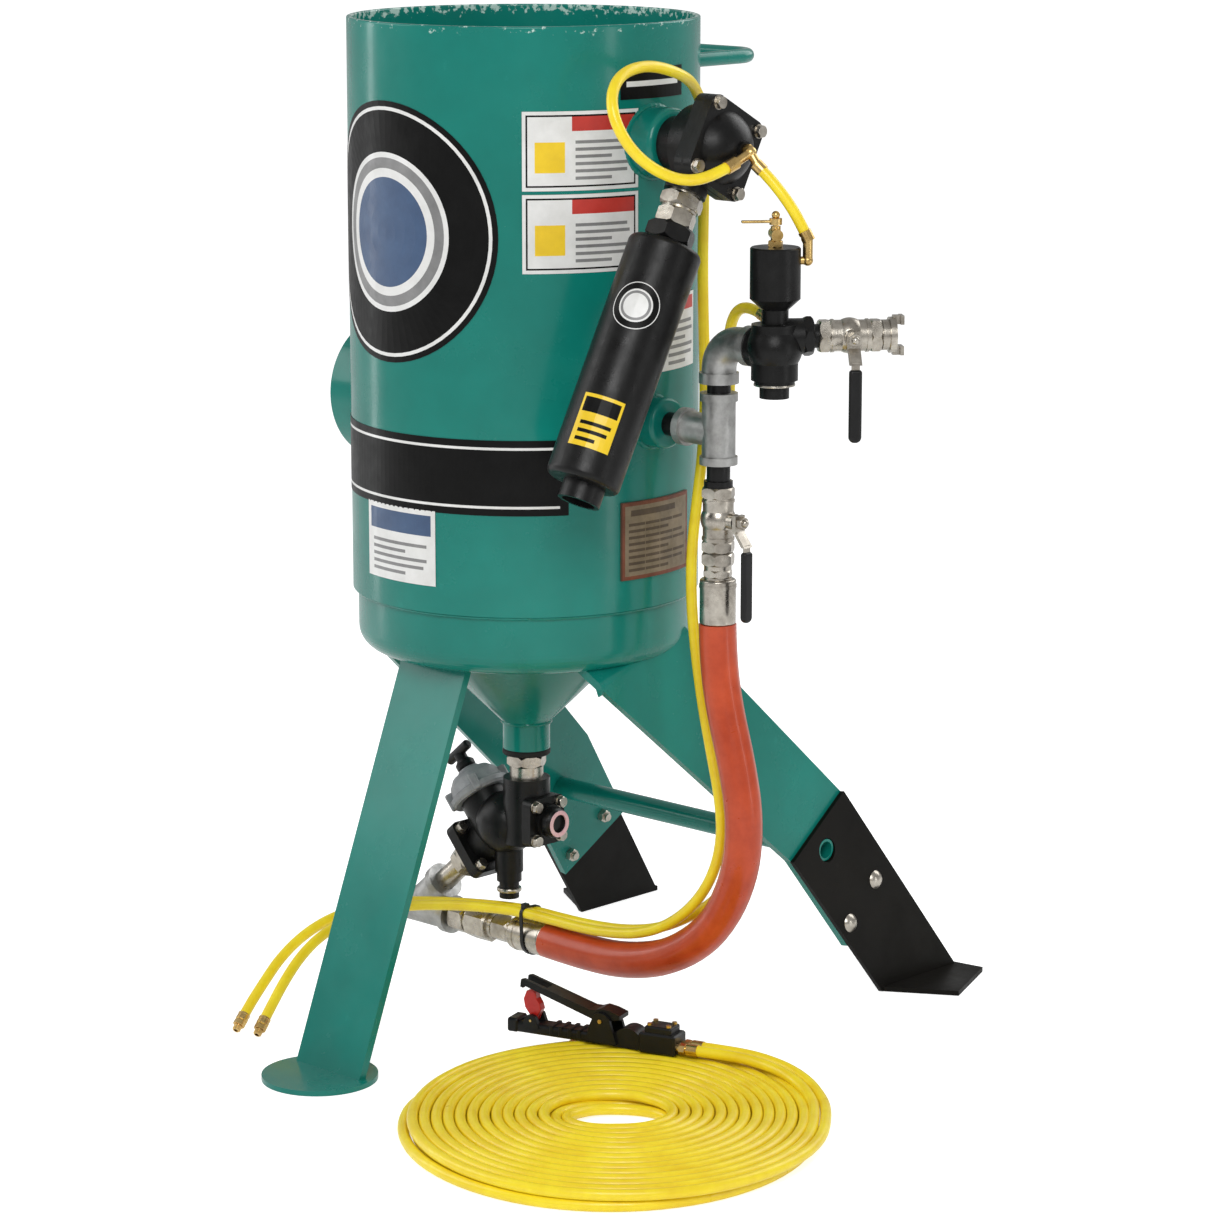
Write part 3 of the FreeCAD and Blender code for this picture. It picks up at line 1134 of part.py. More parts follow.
def make_pilot_fittings():
    """Brass tee on the outlet valve, and the elbows on the air inlet valve."""
    tee = join([cylinder(4.5, 9, V(BODY_X + 34, 0, OUTLET_Z), X_AXIS),
                hexagon(12, 6, V(BODY_X + 42.2, 0, OUTLET_Z), X_AXIS),
                Part.makeSphere(7.0, TEE_CENTRE),
                stub(5.2, TEE_CENTRE, HOSE_A_START),
                sleeve(HOSE_A_START, HOSE_A_ROUTE[1], 12),
                stub(5.2, TEE_CENTRE, LINK_START),
                sleeve(LINK_START, LINK_ROUTE[1], 8)])
    corner = V(LINK_END.x, LINK_END.y, 944)
    side = V(LINK_END.x - INLET_VALVE_X, LINK_END.y, 0).normalize()
    wall = V(INLET_VALVE_X, 0, corner.z) + side * (CYLINDER_R - 2)
    upper = join([stub(4.5, wall, corner), Part.makeSphere(6.0, corner),
                  stub(5.5, corner, LINK_END), sleeve(LINK_END, LINK_ROUTE[-2], 9)])
    upper = upper.cut(cylinder(CYLINDER_R, 80, V(INLET_VALVE_X, 0, CYLINDER_LOW)))
    neck = V(INLET_VALVE_X - 14, 18, INLET_VALVE_Z + 16)
    lower = join([stub(5.0, neck, HOSE_B_START), sleeve(HOSE_B_START, HOSE_B_ROUTE[1], 12)])
    lower = lower.cut(make_inlet_valve_body())
    lower = max(lower.Solids, key=lambda solid: solid.Volume)
    return Part.Compound([tee, upper, lower])


def make_hose_tips():
    """Screw ends of the four small hoses."""
    routes = (HOSE_A_ROUTE, HOSE_B_ROUTE, tail_route(TAIL_A), tail_route(TAIL_B))
    return Part.Compound([hose_tip(route) for route in routes])


# ---------------------------------------------------------------- remote control

def in_handle(x, y, z):
    """A point of the remote handle: x from its rear towards its tip, y across, z up."""
    angle = math.radians(HANDLE_YAW)
    along = V(math.cos(angle), math.sin(angle), 0)
    across = V(-math.sin(angle), math.cos(angle), 0)
    return HANDLE_REAR + along * x + across * y + Z_AXIS * z


def on_handle(shape):
    shape = shape.copy()
    shape.rotate(ORIGIN, Z_AXIS, HANDLE_YAW)
    shape.translate(HANDLE_REAR)
    return shape


def make_handle_base():
    """Moulded grip with two ears for the lever, the valve block at the rear and two ears for the flap."""
    grip = box((18, -12, 0), (HANDLE_LENGTH, 12, 13))
    grip = grip.makeFillet(4.0, [edge for edge in grip.Edges if edge.BoundBox.XLength > 100])
    block = box((0, -16, 0), (46, 16, 24))
    block = block.makeChamfer(2.0, block.Edges)
    cover = box((6, -13, 20), (40, 13, 32))
    cover = cover.makeFillet(2.5, cover.Edges)
    hump = cylinder(19, 24, V(62, -12, 6), Y_AXIS).common(box((40, -14, 1), (84, 14, 30)))
    parts = [grip, block, cover, hump]
    ear = [(74, 4), (114, 4), (108, 26), (103, 37), (97, 40), (90, 39), (84, 34), (80, 22)]
    for y in (-16.5, 12):
        parts.append(plate_xz_at(ear, y, 4.5))
    for y in (-13, 7.5):
        parts.append(plate_xz_at([(176, 8), (198, 8), (193, 22), (187, 24), (181, 22)], y, 5.5))
    for x in (122, 134, 146, 158):
        rung = box((x, -12.6, 3), (x + 5, 12.6, 14.4))
        parts.append(rung.makeFillet(1.0, rung.Edges))
    toe = box((204, -13.5, 0), (HANDLE_LENGTH + 3, 13.5, 17))
    parts.append(toe.makeFillet(3.0, toe.Edges))
    body = join(parts)
    body = body.cut(cylinder(PIVOT_PIN_R, 60, V(LEVER_PIVOT[0], -30, LEVER_PIVOT[1]), Y_AXIS))
    return on_handle(body.cut(cylinder(1.5, 60, V(FLAP_PIVOT[0], -30, FLAP_PIVOT[1]), Y_AXIS)))


def plate_xz_at(outline, y_low, thickness):
    points = [V(x, y_low, z) for x, z in outline]
    return Part.Face(Part.makePolygon(points + points[:1])).extrude(V(0, thickness, 0))


def make_handle_pins():
    """The two pivot pins and the cover screws."""
    lever_pin = cylinder(PIVOT_PIN_R, 36, V(LEVER_PIVOT[0], -18, LEVER_PIVOT[1]), Y_AXIS)
    flap_pin = cylinder(1.5, 28, V(FLAP_PIVOT[0], -14, FLAP_PIVOT[1]), Y_AXIS)
    screws = [cylinder(3.0, 2.5, V(x, y, 32), Z_AXIS) for x, y in ((11, -8), (35, 8), (11, 8), (35, -8))]
    return on_handle(Part.Compound([lever_pin, flap_pin] + screws))


def make_handle_lever():
    """Squeeze lever that stands off the grip. Its tip is forked, so that it passes the flap when squeezed."""
    outline = [(72, 33), (88, 30), (90, 24), (95, 22), (101, 24), (108, 30), (196, 58), (197, 55), (201, 56),
               (200, 65), (196, 66), (112, 41), (104, 41), (96, 44), (84, 42), (72, 38)]
    blade = plate_xz_at(outline, -11.7, 23.4)
    fork = box((168, -FLAP_HALF - 1, 30), (220, FLAP_HALF + 1, 90))
    lever = blade.cut(fork)
    lever = lever.cut(cylinder(PIVOT_PIN_R + 0.05, 60, V(LEVER_PIVOT[0], -30, LEVER_PIVOT[1]), Y_AXIS))
    return on_handle(lever)


def make_safety_flap():
    """Upright flap under the lever's tip, that folds towards the end of the grip."""
    outline = [(183.5, 15), (190.5, 15), (192, 22), (198, 30), (200, 40), (196, 50), (189, 53), (184, 49),
               (183, 42), (179, 36), (177, 29), (181, 22)]
    blade = plate_xz_at(outline, -FLAP_HALF, 2 * FLAP_HALF)
    blade = blade.makeFillet(1.2, [edge for edge in blade.Edges if edge.BoundBox.YLength < 0.01])
    flap = blade.cut(cylinder(1.55, 60, V(FLAP_PIVOT[0], -30, FLAP_PIVOT[1]), Y_AXIS))
    return on_handle(flap)


# Points of the twin hoses over the coil: how far out (1 is the coil's edge), degrees clockwise from the
# coil's axis, and height. They climb off the handle, cross the outer turns and sink into the coil's edge.
LEAD_A = ((0.834, -46.7, 35.5), (0.879, -36.8, 35.0), (0.921, -27.3, 32.5), (0.949, -18.3, 28.5),
          (0.962, -9.6, 23.5), (0.968, -0.9, 20.0))
LEAD_B = ((0.780, -45.9, 35.5), (0.826, -35.7, 35.0), (0.870, -26.0, 32.5), (0.896, -17.2, 29.0),
          (0.909, -8.8, 25.0), (0.9136, -0.2, 21.0))
# Free ends of the twin hoses, that come out of the coil's lower layer behind it.
TAIL_A = ((0.990, 238.0, 7.0), (1.016, 245.5, 6.8), (1.029, 253.5, 6.8), (1.033, 261.5, 7.4))
TAIL_B = ((0.945, 240.0, 7.0), (0.955, 249.0, 6.8), (0.973, 258.0, 6.8), (1.000, 267.0, 6.8),
          (1.021, 275.5, 6.8), (1.031, 284.0, 7.4))


def coil_point(share, degrees, z):
    """A point on the coil's plan: share of the way from its middle to its edge, at an angle and height."""
    along = math.radians(COIL_YAW)
    angle = math.radians(degrees)
    across = COIL_ACROSS * share * math.cos(angle)
    deep = COIL_DEEP * share * math.sin(angle)
    return (COIL_X + across * math.cos(along) + deep * math.sin(along),
            COIL_Y + across * math.sin(along) - deep * math.cos(along), z)


def lead_route(side, path):
    start = in_handle(-SWIVEL_LENGTH, side * SWIVEL_Y, SWIVEL_Z)
    return [tuple(start)] + [coil_point(*spot) for spot in path]


def tail_route(path):
    return [coil_point(*spot) for spot in path]


def make_handle_fittings():
    """Brass swivels between the handle's valve block and the twin hoses."""
    outward = in_handle(-1, 0, 0) - in_handle(0, 0, 0)
    swivels = []
    for side in (-1, 1):
        y = side * SWIVEL_Y
        swivels.append(join([cylinder(4.5, 14, in_handle(0, y, SWIVEL_Z), outward),
                             hexagon(12, 8, in_handle(-3, y, SWIVEL_Z), outward),
                             cylinder(7.2, SWIVEL_LENGTH - 13, in_handle(-13, y, SWIVEL_Z), outward)]))
    return Part.Compound(swivels)


def make_hose_coil():
    """Outer shape of the coiled twin hose."""
    outer = FreeCAD.Matrix()
    outer.scale(COIL_ACROSS, COIL_DEEP, 1)
    inner = FreeCAD.Matrix()
    inner.scale(COIL_HOLE, COIL_HOLE * COIL_DEEP / COIL_ACROSS, 1)
    disc = Part.makeCylinder(1.0, COIL_HEIGHT)
    coil = disc.transformGeometry(outer).cut(disc.transformGeometry(inner))
    coil.rotate(ORIGIN, Z_AXIS, COIL_YAW)
    coil.translate(V(COIL_X, COIL_Y, 0))
    return coil


# ---------------------------------------------------------------- the whole machine

def make_parts():
    vessel = vessel_form()
    rear_leg = make_rear_leg(vessel)
    bracket = make_foot_bracket()
    return {
        "vessel_shell": make_vessel_shell(),
        "top_head": make_top_head(),
        "seals": make_seals(),
        "bottom_head": make_bottom_head(),
        "popup_valve": make_popup_valve(),
        "inner_air_pipe": make_inner_air_pipe(),
        "handway_ring": make_handway_ring(),
        "handway_cover": make_handway_cover(),
        "handway_crab": make_handway_crab(),
        "push_handle": make_push_handle(),
        "front_leg": make_front_leg(vessel),
        "rear_leg_right": rear_leg,
        "rear_leg_left": mirrored(rear_leg),
        "foot_brackets": Part.Compound([bracket, mirrored(bracket)]),
        "foot_bolts": make_foot_bolts(),
        "axle_tube": make_axle_tube(),
        "pipe_bosses": make_pipe_bosses(),
        "data_plate": make_data_plate(),
        "pipe_nipples": make_pipe_nipples(),
        "inlet_tee": make_inlet_tee(),
        "inlet_elbow": make_inlet_elbow(),
        "inlet_valve_body": make_inlet_valve_body(),
        "inlet_valve_cylinder": make_inlet_valve_cylinder(),
        "inlet_valve_plunger": make_inlet_valve_plunger(),
        "bottom_plugs": make_bottom_plugs(),
        "bleeder_cock": make_bleeder_cock(),
        "bleeder_handle": make_bleeder_handle(),
        "main_valve_body": on_main_valve(ball_valve_body(MAIN_HIGH - MAIN_LOW)),
        "main_valve_lever": on_main_valve(ball_valve_lever()),
        "main_valve_grip": on_main_valve(ball_valve_grip()),
        "choke_valve_body": on_choke_valve(ball_valve_body(CHOKE_LENGTH)),
        "choke_valve_lever": on_choke_valve(closed_lever(ball_valve_lever())),
        "choke_valve_grip": on_choke_valve(closed_lever(ball_valve_grip())),
        "claw_coupling": make_claw_coupling(),
        "hose_couplings": make_hose_couplings(),
        "pusher_hose": hose("pusher_hose", PUSHER_ROUTE, PUSHER_HOSE_R),
        "pusher_wye": make_pusher_wye(),
        "blast_coupling": make_blast_coupling(),
        "outlet_valve_body": make_outlet_valve_body(),
        "outlet_valve_bonnet": make_outlet_valve_bonnet(),
        "outlet_valve_gasket": make_diaphragm_gasket(),
        "outlet_valve_disc": make_outlet_diaphragm(),
        "flange_bolts": make_valve_bolts(),
        "exhaust_union": make_exhaust_union(),
        "silencer": make_silencer(),
        "metering_nipple": make_metering_nipple(),
        "metering_body": make_metering_body(),
        "metering_union": make_meter_union(),
        "metering_bonnet": make_metering_bonnet(),
        "metering_plunger": make_metering_plunger(),
        "metering_knob": make_metering_knob(),
        "pilot_fittings": make_pilot_fittings(),
        "pilot_hoses": Part.Compound([hose("pilot_hose_a", HOSE_A_ROUTE, HOSE_R),
                                      hose("pilot_hose_b", HOSE_B_ROUTE, HOSE_R),
                                      hose("link_hose", LINK_ROUTE, HOSE_R)]),
        "hose_tips": make_hose_tips(),
        "deadman_base": Part.Compound([make_handle_base()]),
        "deadman_fittings": Part.Compound([make_handle_fittings(), make_handle_pins()]),
        "deadman_lever": make_handle_lever(),
        "safety_flap": make_safety_flap(),
        "hose_coil": make_hose_coil(),
        "twin_leads": Part.Compound([hose("lead_a", lead_route(-1, LEAD_A), HOSE_R),
                                     hose("lead_b", lead_route(1, LEAD_B), HOSE_R),
                                     hose("tail_a", tail_route(TAIL_A), HOSE_R),
                                     hose("tail_b", tail_route(TAIL_B), HOSE_R)]),
    }


# The footprint runs from the left bracket's foot to the claw coupling, and from the front foot to the
# rear feet.
FOOTPRINT_LEFT = -(REAR_FLOOR_X + BRACKET_OUT)
FOOTPRINT_RIGHT = 486.0
FOOTPRINT_FRONT = FOOT_Y - FOOT_R
FOOTPRINT_BACK = BRACKET_TOE + 6
TO_ORIGIN = V(-(FOOTPRINT_LEFT + FOOTPRINT_RIGHT) / 2, -(FOOTPRINT_FRONT + FOOTPRINT_BACK) / 2, 0)

os.makedirs("parts", exist_ok=True)
cords = ("hose_coil", "twin_leads", "pilot_hoses", "pusher_hose", "hose_tips")
extent = FreeCAD.BoundBox()
for node, shape in make_parts().items():
    if not shape.isValid():
        print("not valid:", node)
    if node not in cords:
        extent.add(shape.BoundBox)
    shape.translate(TO_ORIGIN)
    shape.exportStep("parts/" + node + ".step")

print("footprint x %.1f to %.1f, y %.1f to %.1f, top %.1f, floor %.3f" % (
    extent.XMin, extent.XMax, extent.YMin, extent.YMax, extent.ZMax, extent.ZMin))
for name, (radius, length, fullness) in bend_radii.items():
    print("%s: tightest bend %.0f, length %.0f, volume share %.4f" % (name, radius, length, fullness))
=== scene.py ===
import json
import math
import random

import bmesh
import bpy
from mathutils import Matrix, Vector


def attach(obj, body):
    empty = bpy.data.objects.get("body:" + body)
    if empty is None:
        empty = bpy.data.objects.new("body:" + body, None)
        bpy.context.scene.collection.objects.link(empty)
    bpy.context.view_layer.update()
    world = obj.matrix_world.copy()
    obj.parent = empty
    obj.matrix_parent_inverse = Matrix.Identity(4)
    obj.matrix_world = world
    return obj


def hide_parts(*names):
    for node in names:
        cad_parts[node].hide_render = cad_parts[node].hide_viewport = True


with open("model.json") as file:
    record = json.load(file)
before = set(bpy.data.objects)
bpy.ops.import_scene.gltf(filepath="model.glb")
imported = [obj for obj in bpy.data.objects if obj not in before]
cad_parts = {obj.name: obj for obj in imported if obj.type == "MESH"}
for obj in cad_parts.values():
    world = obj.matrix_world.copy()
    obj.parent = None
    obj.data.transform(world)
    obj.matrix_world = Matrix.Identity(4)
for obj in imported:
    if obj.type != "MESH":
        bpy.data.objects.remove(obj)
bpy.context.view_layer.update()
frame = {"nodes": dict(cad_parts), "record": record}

# Metres, +Z up. Places are worked out about the vessel's axis, as in the CAD source, and shifted by AXIS.
AXIS = Vector((-0.075, -0.0515, 0.0))
SHELL_R = 0.2032
HOSE_D = 0.0127
PUSHER_D = 0.043

# The coil: its middle, its turn, its half widths, and how much less each ring inwards has of them.
COIL_MIDDLE = (0.371, -0.2405)
COIL_YAW = math.radians(44.3)
COIL_ACROSS = 0.243
COIL_DEEP = 0.275
RING_ACROSS = 0.0132
RING_DEEP = 0.0162
POINTS_PER_TURN = 16

# The remote handle's rear end, and the way it points.
HANDLE_REAR = (0.295, -0.050, 0.026)
HANDLE_YAW = math.radians(197.0)

# Roughness of a clear coat.
COAT_ROUGHNESS = 0.12

# Chips and painted highlights on the vessel's rim, as pale specks: they start at a height, grow over a reach,
# and are less on the outside of the wall.
RIM_WEAR_AND_GLINT_FROM = 1.174
RIM_WEAR_AND_GLINT_REACH = 0.014
RIM_WEAR_AND_GLINT_AMOUNT = (-0.25, 0.06)
RIM_WALL = (SHELL_R - 0.004, SHELL_R - 0.001)
RIM_OUTSIDE_LESS = -0.10
# Pale green of the rim's specks, for chipped paint and for painted highlights.
CHIP_AND_GLINT_COLOUR = (0.50, 0.66, 0.60)

# Camera, floor and lights. The camera and the lamps' aim are placed from the vessel's axis.
CAMERA_AT = (3.335, -3.386, 1.503)
CAMERA_TILT = math.radians(78.08)
CAMERA_YAW = math.radians(43.41)
CAMERA_LENS = 121.9
CAMERA_SENSOR = 36.0
FLOOR_HALF = 14.0
FLOOR_Z = -0.0005
FLOOR_GREY = (0.86, 0.89)
FLOOR_ROUGHNESS = 0.7
FLOOR_GLOW = (0.20, 0.72)
WORLD_GLOW = (0.42, 1.1)
LAMPS_AIM = (0.05, -0.05, 0.6)
# Name, place in the frame, power in watts, width and height.
LAMPS = (("key", (2.4, -2.6, 2.9), 74, 1.8, 1.8),
         ("fill", (-2.6, -2.2, 2.2), 34, 2.2, 2.2),
         ("back", (0.6, 3.0, 2.6), 42, 2.4, 2.4),
         ("left_strip", (-2.6, -1.0, 0.75), 6, 0.30, 1.7),
         ("right_strip", (3.1, 0.55, 0.75), 6, 0.35, 1.7))

random.seed(7)


def at(x, y, z):
    """A place given from the vessel's axis."""
    return Vector((x, y, z)) + AXIS


# ---------------------------------------------------------------- materials

def new_material(name, colour, roughness, metallic=0.0):
    made = bpy.data.materials.new(name)
    made.use_nodes = True
    surface = surface_of(made)
    surface.inputs["Base Color"].default_value = (*colour, 1)
    surface.inputs["Roughness"].default_value = roughness
    surface.inputs["Metallic"].default_value = metallic
    return made


def add_node(made, kind, **values):
    """A node with inputs set or linked. They are named with underscores for spaces, or i0, i1 by number."""
    node = made.node_tree.nodes.new(kind)
    for key, value in values.items():
        by_number = key[0] == "i" and key[1:].isdigit()
        socket = node.inputs[int(key[1:]) if by_number else key.replace("_", " ")]
        if isinstance(value, bpy.types.NodeSocket):
            made.node_tree.links.new(value, socket)
        else:
            socket.default_value = value
    return node


def surface_of(made):
    return made.node_tree.nodes["Principled BSDF"]


def link(made, output, socket_name):
    made.node_tree.links.new(output, surface_of(made).inputs[socket_name])


def place(made):
    """The point's place in the object's own coordinates, in metres."""
    return add_node(made, "ShaderNodeTexCoord").outputs["Object"]


def noise(made, scale, detail=3.0, roughness=0.5):
    """Noise of so many lumps to a metre, from 0 to 1."""
    return add_node(made, "ShaderNodeTexNoise", Vector=place(made), Scale=scale, Detail=detail,
                    Roughness=roughness).outputs["Fac"]


def remap(made, value, from_range, to_range):
    """The value carried from one range to the other, and held at its ends."""
    return add_node(made, "ShaderNodeMapRange", Value=value, From_Min=from_range[0], From_Max=from_range[1],
                    To_Min=to_range[0], To_Max=to_range[1]).outputs["Result"]


def add(made, first, second):
    return add_node(made, "ShaderNodeMath", i0=first, i1=second).outputs["Value"]


def ramp(made, value, stops):
    """A colour ramp of (position, colour) stops, where a grey is one number in brackets."""
    node = add_node(made, "ShaderNodeValToRGB", Fac=value)
    band = node.color_ramp
    while len(band.elements) < len(stops):
        band.elements.new(0.5)
    for element, (position, colour) in zip(band.elements, stops):
        element.position = position
        element.color = (*colour, 1) if len(colour) == 3 else (colour[0], colour[0], colour[0], 1)
    return node.outputs["Color"]


def add_bump(made, heights):
    """Bumps laid over one another: (height socket, strength, distance in metres)."""
    normal = None
    for height, strength, distance in heights:
        values = {"Height": height, "Strength": strength, "Distance": distance}
        if normal:
            values["Normal"] = normal
        normal = add_node(made, "ShaderNodeBump", **values).outputs["Normal"]
    link(made, normal, "Normal")


def grey(value):
    """A grey for a ramp's stop."""
    return (value,)


def mix_colour(made, factor, first, second):
    """First, a socket, where the factor is 0, and second, a plain colour, where it is 1."""
    node = add_node(made, "ShaderNodeMix")
    node.data_type = "RGBA"
    factor_socket, colour_a, colour_b = node.inputs[0], node.inputs[6], node.inputs[7]
    made.node_tree.links.new(factor, factor_socket)
    made.node_tree.links.new(first, colour_a)
    colour_b.default_value = (*second, 1)
    return node.outputs[2]


def rim_chips_and_glints(made, wear_and_glint_from):
    """Where the rim's pale specks lie, which are chipped paint and painted highlights: most at the top edge
    and on the inside of the wall.
    """
    spot = add_node(made, "ShaderNodeSeparateXYZ", Vector=place(made)).outputs
    amount = remap(made, spot["Z"], (wear_and_glint_from, wear_and_glint_from + RIM_WEAR_AND_GLINT_REACH), RIM_WEAR_AND_GLINT_AMOUNT)
    level = add_node(made, "ShaderNodeCombineXYZ", X=spot["X"], Y=spot["Y"]).outputs["Vector"]
    out = add_node(made, "ShaderNodeVectorMath", i0=level, i1=AXIS)
    out.operation = "DISTANCE"
    outside = remap(made, out.outputs["Value"], RIM_WALL, (0.0, RIM_OUTSIDE_LESS))
    patches = add(made, add(made, amount, outside), noise(made, 120.0, 6.0, 0.65))
    return ramp(made, patches, [(0.55, grey(0)), (0.60, grey(1))])


def paint(name, dark, light, roughness, grain, chips, shine=0.5, coat=0.3, wear_and_glint_from=None):
    """Sprayed enamel: slow colour drift, orange peel, a few dull scuffs, and pale specks above a height for
    chips and painted highlights.
    """
    made = new_material(name, light, roughness)
    surface = surface_of(made)
    drift = noise(made, 6.0, 4.0, 0.6)
    colour = ramp(made, drift, [(0.3, dark), (0.7, light)])
    scuff = ramp(made, noise(made, 40.0, 6.0, 0.6), [(0.68, grey(0)), (0.82, grey(chips))])
    colour = mix_colour(made, scuff, colour, [min(1, c * 1.4 + 0.02) for c in light])
    if wear_and_glint_from is not None:
        # Pale specks near the rim's top: chipped paint, and painted highlights.
        colour = mix_colour(made, rim_chips_and_glints(made, wear_and_glint_from), colour, CHIP_AND_GLINT_COLOUR)
    link(made, colour, "Base Color")
    rough = ramp(made, noise(made, 14.0, 5.0, 0.65),
                 [(0.3, grey(roughness * 0.75)), (0.75, grey(roughness * 1.5))])
    link(made, rough, "Roughness")
    surface.inputs["Specular IOR Level"].default_value = shine
    surface.inputs["Coat Weight"].default_value = coat
    surface.inputs["Coat Roughness"].default_value = COAT_ROUGHNESS
    add_bump(made, [(noise(made, grain, 2.0), 0.10, 0.0003), (noise(made, 18.0, 2.0), 0.10, 0.002)])
    return made


def metal(name, dark, light, roughness, grain=220.0, depth=0.0003, metallic=1.0, strength=0.3, shine=0.5):
    """Plated or cast metal with stains, uneven gloss and a fine grain."""
    made = new_material(name, light, roughness, metallic)
    surface_of(made).inputs["Specular IOR Level"].default_value = shine
    colour = ramp(made, noise(made, 38.0, 6.0, 0.7), [(0.3, dark), (0.66, light)])
    link(made, colour, "Base Color")
    rough = ramp(made, noise(made, 70.0, 5.0, 0.6),
                 [(0.25, grey(roughness * 0.7)), (0.8, grey(min(1, roughness * 1.5)))])
    link(made, rough, "Roughness")
    add_bump(made, [(noise(made, grain, 6.0, 0.7), strength, depth)])
    return made


def polymer(name, dark, light, roughness, grain=400.0, strength=0.15, coat=0.0, depth=0.0003, shine=0.5):
    """Rubber, vinyl or moulded plastic with a faint grain and uneven shine."""
    made = new_material(name, light, roughness)
    surface_of(made).inputs["Specular IOR Level"].default_value = shine
    colour = ramp(made, noise(made, 24.0, 5.0, 0.65), [(0.3, dark), (0.7, light)])
    link(made, colour, "Base Color")
    rough = ramp(made, noise(made, 60.0, 4.0),
                 [(0.25, grey(roughness * 0.8)), (0.8, grey(min(1, roughness * 1.3)))])
    link(made, rough, "Roughness")
    surface_of(made).inputs["Coat Weight"].default_value = coat
    add_bump(made, [(noise(made, grain, 3.0), strength, depth)])
    return made


# The vessel's green: dark and light colour, roughness, grain, chips, shine and coat.
GREEN = ((0.003, 0.160, 0.128), (0.005, 0.218, 0.176), 0.22, 420.0, 0.30, 0.28, 0.20)

MATERIALS = {
    "green_paint": paint("green_paint", *GREEN),
    "rim_paint": paint("rim_paint", *GREEN, wear_and_glint_from=RIM_WEAR_AND_GLINT_FROM),
    "black_paint": paint("black_paint", (0.004, 0.0035, 0.003), (0.008, 0.007, 0.005), 0.42, 420.0, 0.2, 0.10,
                         0.02),
    "black_cast": metal("black_cast", (0.003, 0.003, 0.003), (0.008, 0.008, 0.008), 0.32, 480.0, 0.0005, 0.0,
                        0.35, 0.24),
    "bare_steel": metal("bare_steel", (0.30, 0.30, 0.30), (0.46, 0.46, 0.47), 0.38),
    "galvanised": metal("galvanised", (0.28, 0.28, 0.27), (0.50, 0.50, 0.49), 0.44, 260.0, 0.0005),
    "nickel": metal("nickel", (0.28, 0.25, 0.21), (0.62, 0.58, 0.51), 0.28),
    "cast_grey": metal("cast_grey", (0.20, 0.205, 0.215), (0.36, 0.365, 0.375), 0.50, 320.0, 0.0008, 0.25,
                       0.5),
    "brass": metal("brass", (0.42, 0.26, 0.08), (0.80, 0.56, 0.22), 0.27),
    "black_rubber": polymer("black_rubber", (0.008, 0.008, 0.008), (0.016, 0.016, 0.016), 0.62, shine=0.25),
    "black_vinyl": polymer("black_vinyl", (0.005, 0.005, 0.005), (0.010, 0.010, 0.011), 0.33, shine=0.3),
    "black_plastic": polymer("black_plastic", (0.004, 0.004, 0.004), (0.010, 0.010, 0.011), 0.36, 700.0, 0.3,
                             shine=0.3),
    "red_plastic": polymer("red_plastic", (0.42, 0.010, 0.008), (0.62, 0.018, 0.012), 0.30, coat=0.3),
    "orange_hose": polymer("orange_hose", (0.42, 0.044, 0.009), (0.58, 0.078, 0.022), 0.32, 260.0, 0.20, 0.15,
                           0.0004, 0.40),
    "yellow_hose": polymer("yellow_hose", (0.86, 0.62, 0.010), (0.98, 0.80, 0.022), 0.34, 300.0, 0.12, 0.10),
    "decal_black": polymer("decal_black", (0.003, 0.003, 0.003), (0.006, 0.006, 0.006), 0.36, 500.0, 0.06,
                           shine=0.14),
    "decal_white": polymer("decal_white", (0.66, 0.66, 0.64), (0.80, 0.80, 0.79), 0.40, 500.0, 0.06, 0.1),
    "decal_red": polymer("decal_red", (0.42, 0.022, 0.015), (0.56, 0.035, 0.022), 0.40, 500.0, 0.06, 0.1),
    "decal_yellow": polymer("decal_yellow", (0.76, 0.50, 0.006), (0.90, 0.62, 0.010), 0.40, 500.0, 0.06, 0.1),
    "decal_grey": polymer("decal_grey", (0.16, 0.16, 0.16), (0.26, 0.26, 0.26), 0.45, 500.0, 0.06, 0.1),
    "decal_blue": polymer("decal_blue", (0.035, 0.070, 0.15), (0.05, 0.10, 0.20), 0.42, 500.0, 0.06, 0.1),
    "plate_edge": metal("plate_edge", (0.10, 0.030, 0.014), (0.20, 0.060, 0.030), 0.46, 300.0, 0.0004, 0.25),
    "plate_face": metal("plate_face", (0.15, 0.115, 0.070), (0.26, 0.205, 0.135), 0.44, 300.0, 0.0004, 0.3),
    "plate_mark": metal("plate_mark", (0.060, 0.042, 0.026), (0.10, 0.070, 0.045), 0.50, 300.0, 0.0004, 0.2),
    "pink_ring": polymer("pink_ring", (0.62, 0.30, 0.34), (0.80, 0.55, 0.58), 0.40),
    "brown_plate": metal("brown_plate", (0.10, 0.045, 0.028), (0.17, 0.080, 0.050), 0.48, 300.0, 0.0004,
                         0.25),
}


def finish_piece(piece, slot_name, look=None):
    """Give a piece its body and its material, which is the slot's own unless a look is named."""
    piece.data.materials.clear()
    piece.data.materials.append(MATERIALS[look or slot_name])
    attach(piece, "frame")
    return piece


def paint_cad_nodes():
    """Give each CAD node the material of its slot, and the vessel's shell the paint with chips and painted
    highlights on its rim.
    """
    slots = {part["node"]: part["material_slot"] for part in frame["record"]["subparts"]}
    for name, node in frame["nodes"].items():
        node.data.materials.clear()
        node.data.materials.append(MATERIALS["rim_paint" if name == "vessel_shell" else slots[name]])


# ---------------------------------------------------------------- camera, light and floor

def make_camera():
    camera = bpy.data.cameras.new("camera")
    camera.lens = CAMERA_LENS
    camera.sensor_width = CAMERA_SENSOR
    viewer = bpy.data.objects.new("camera", camera)
    viewer.location = at(*CAMERA_AT)
    viewer.rotation_euler = (CAMERA_TILT, 0, CAMERA_YAW)
    bpy.context.collection.objects.link(viewer)
    bpy.context.scene.camera = viewer


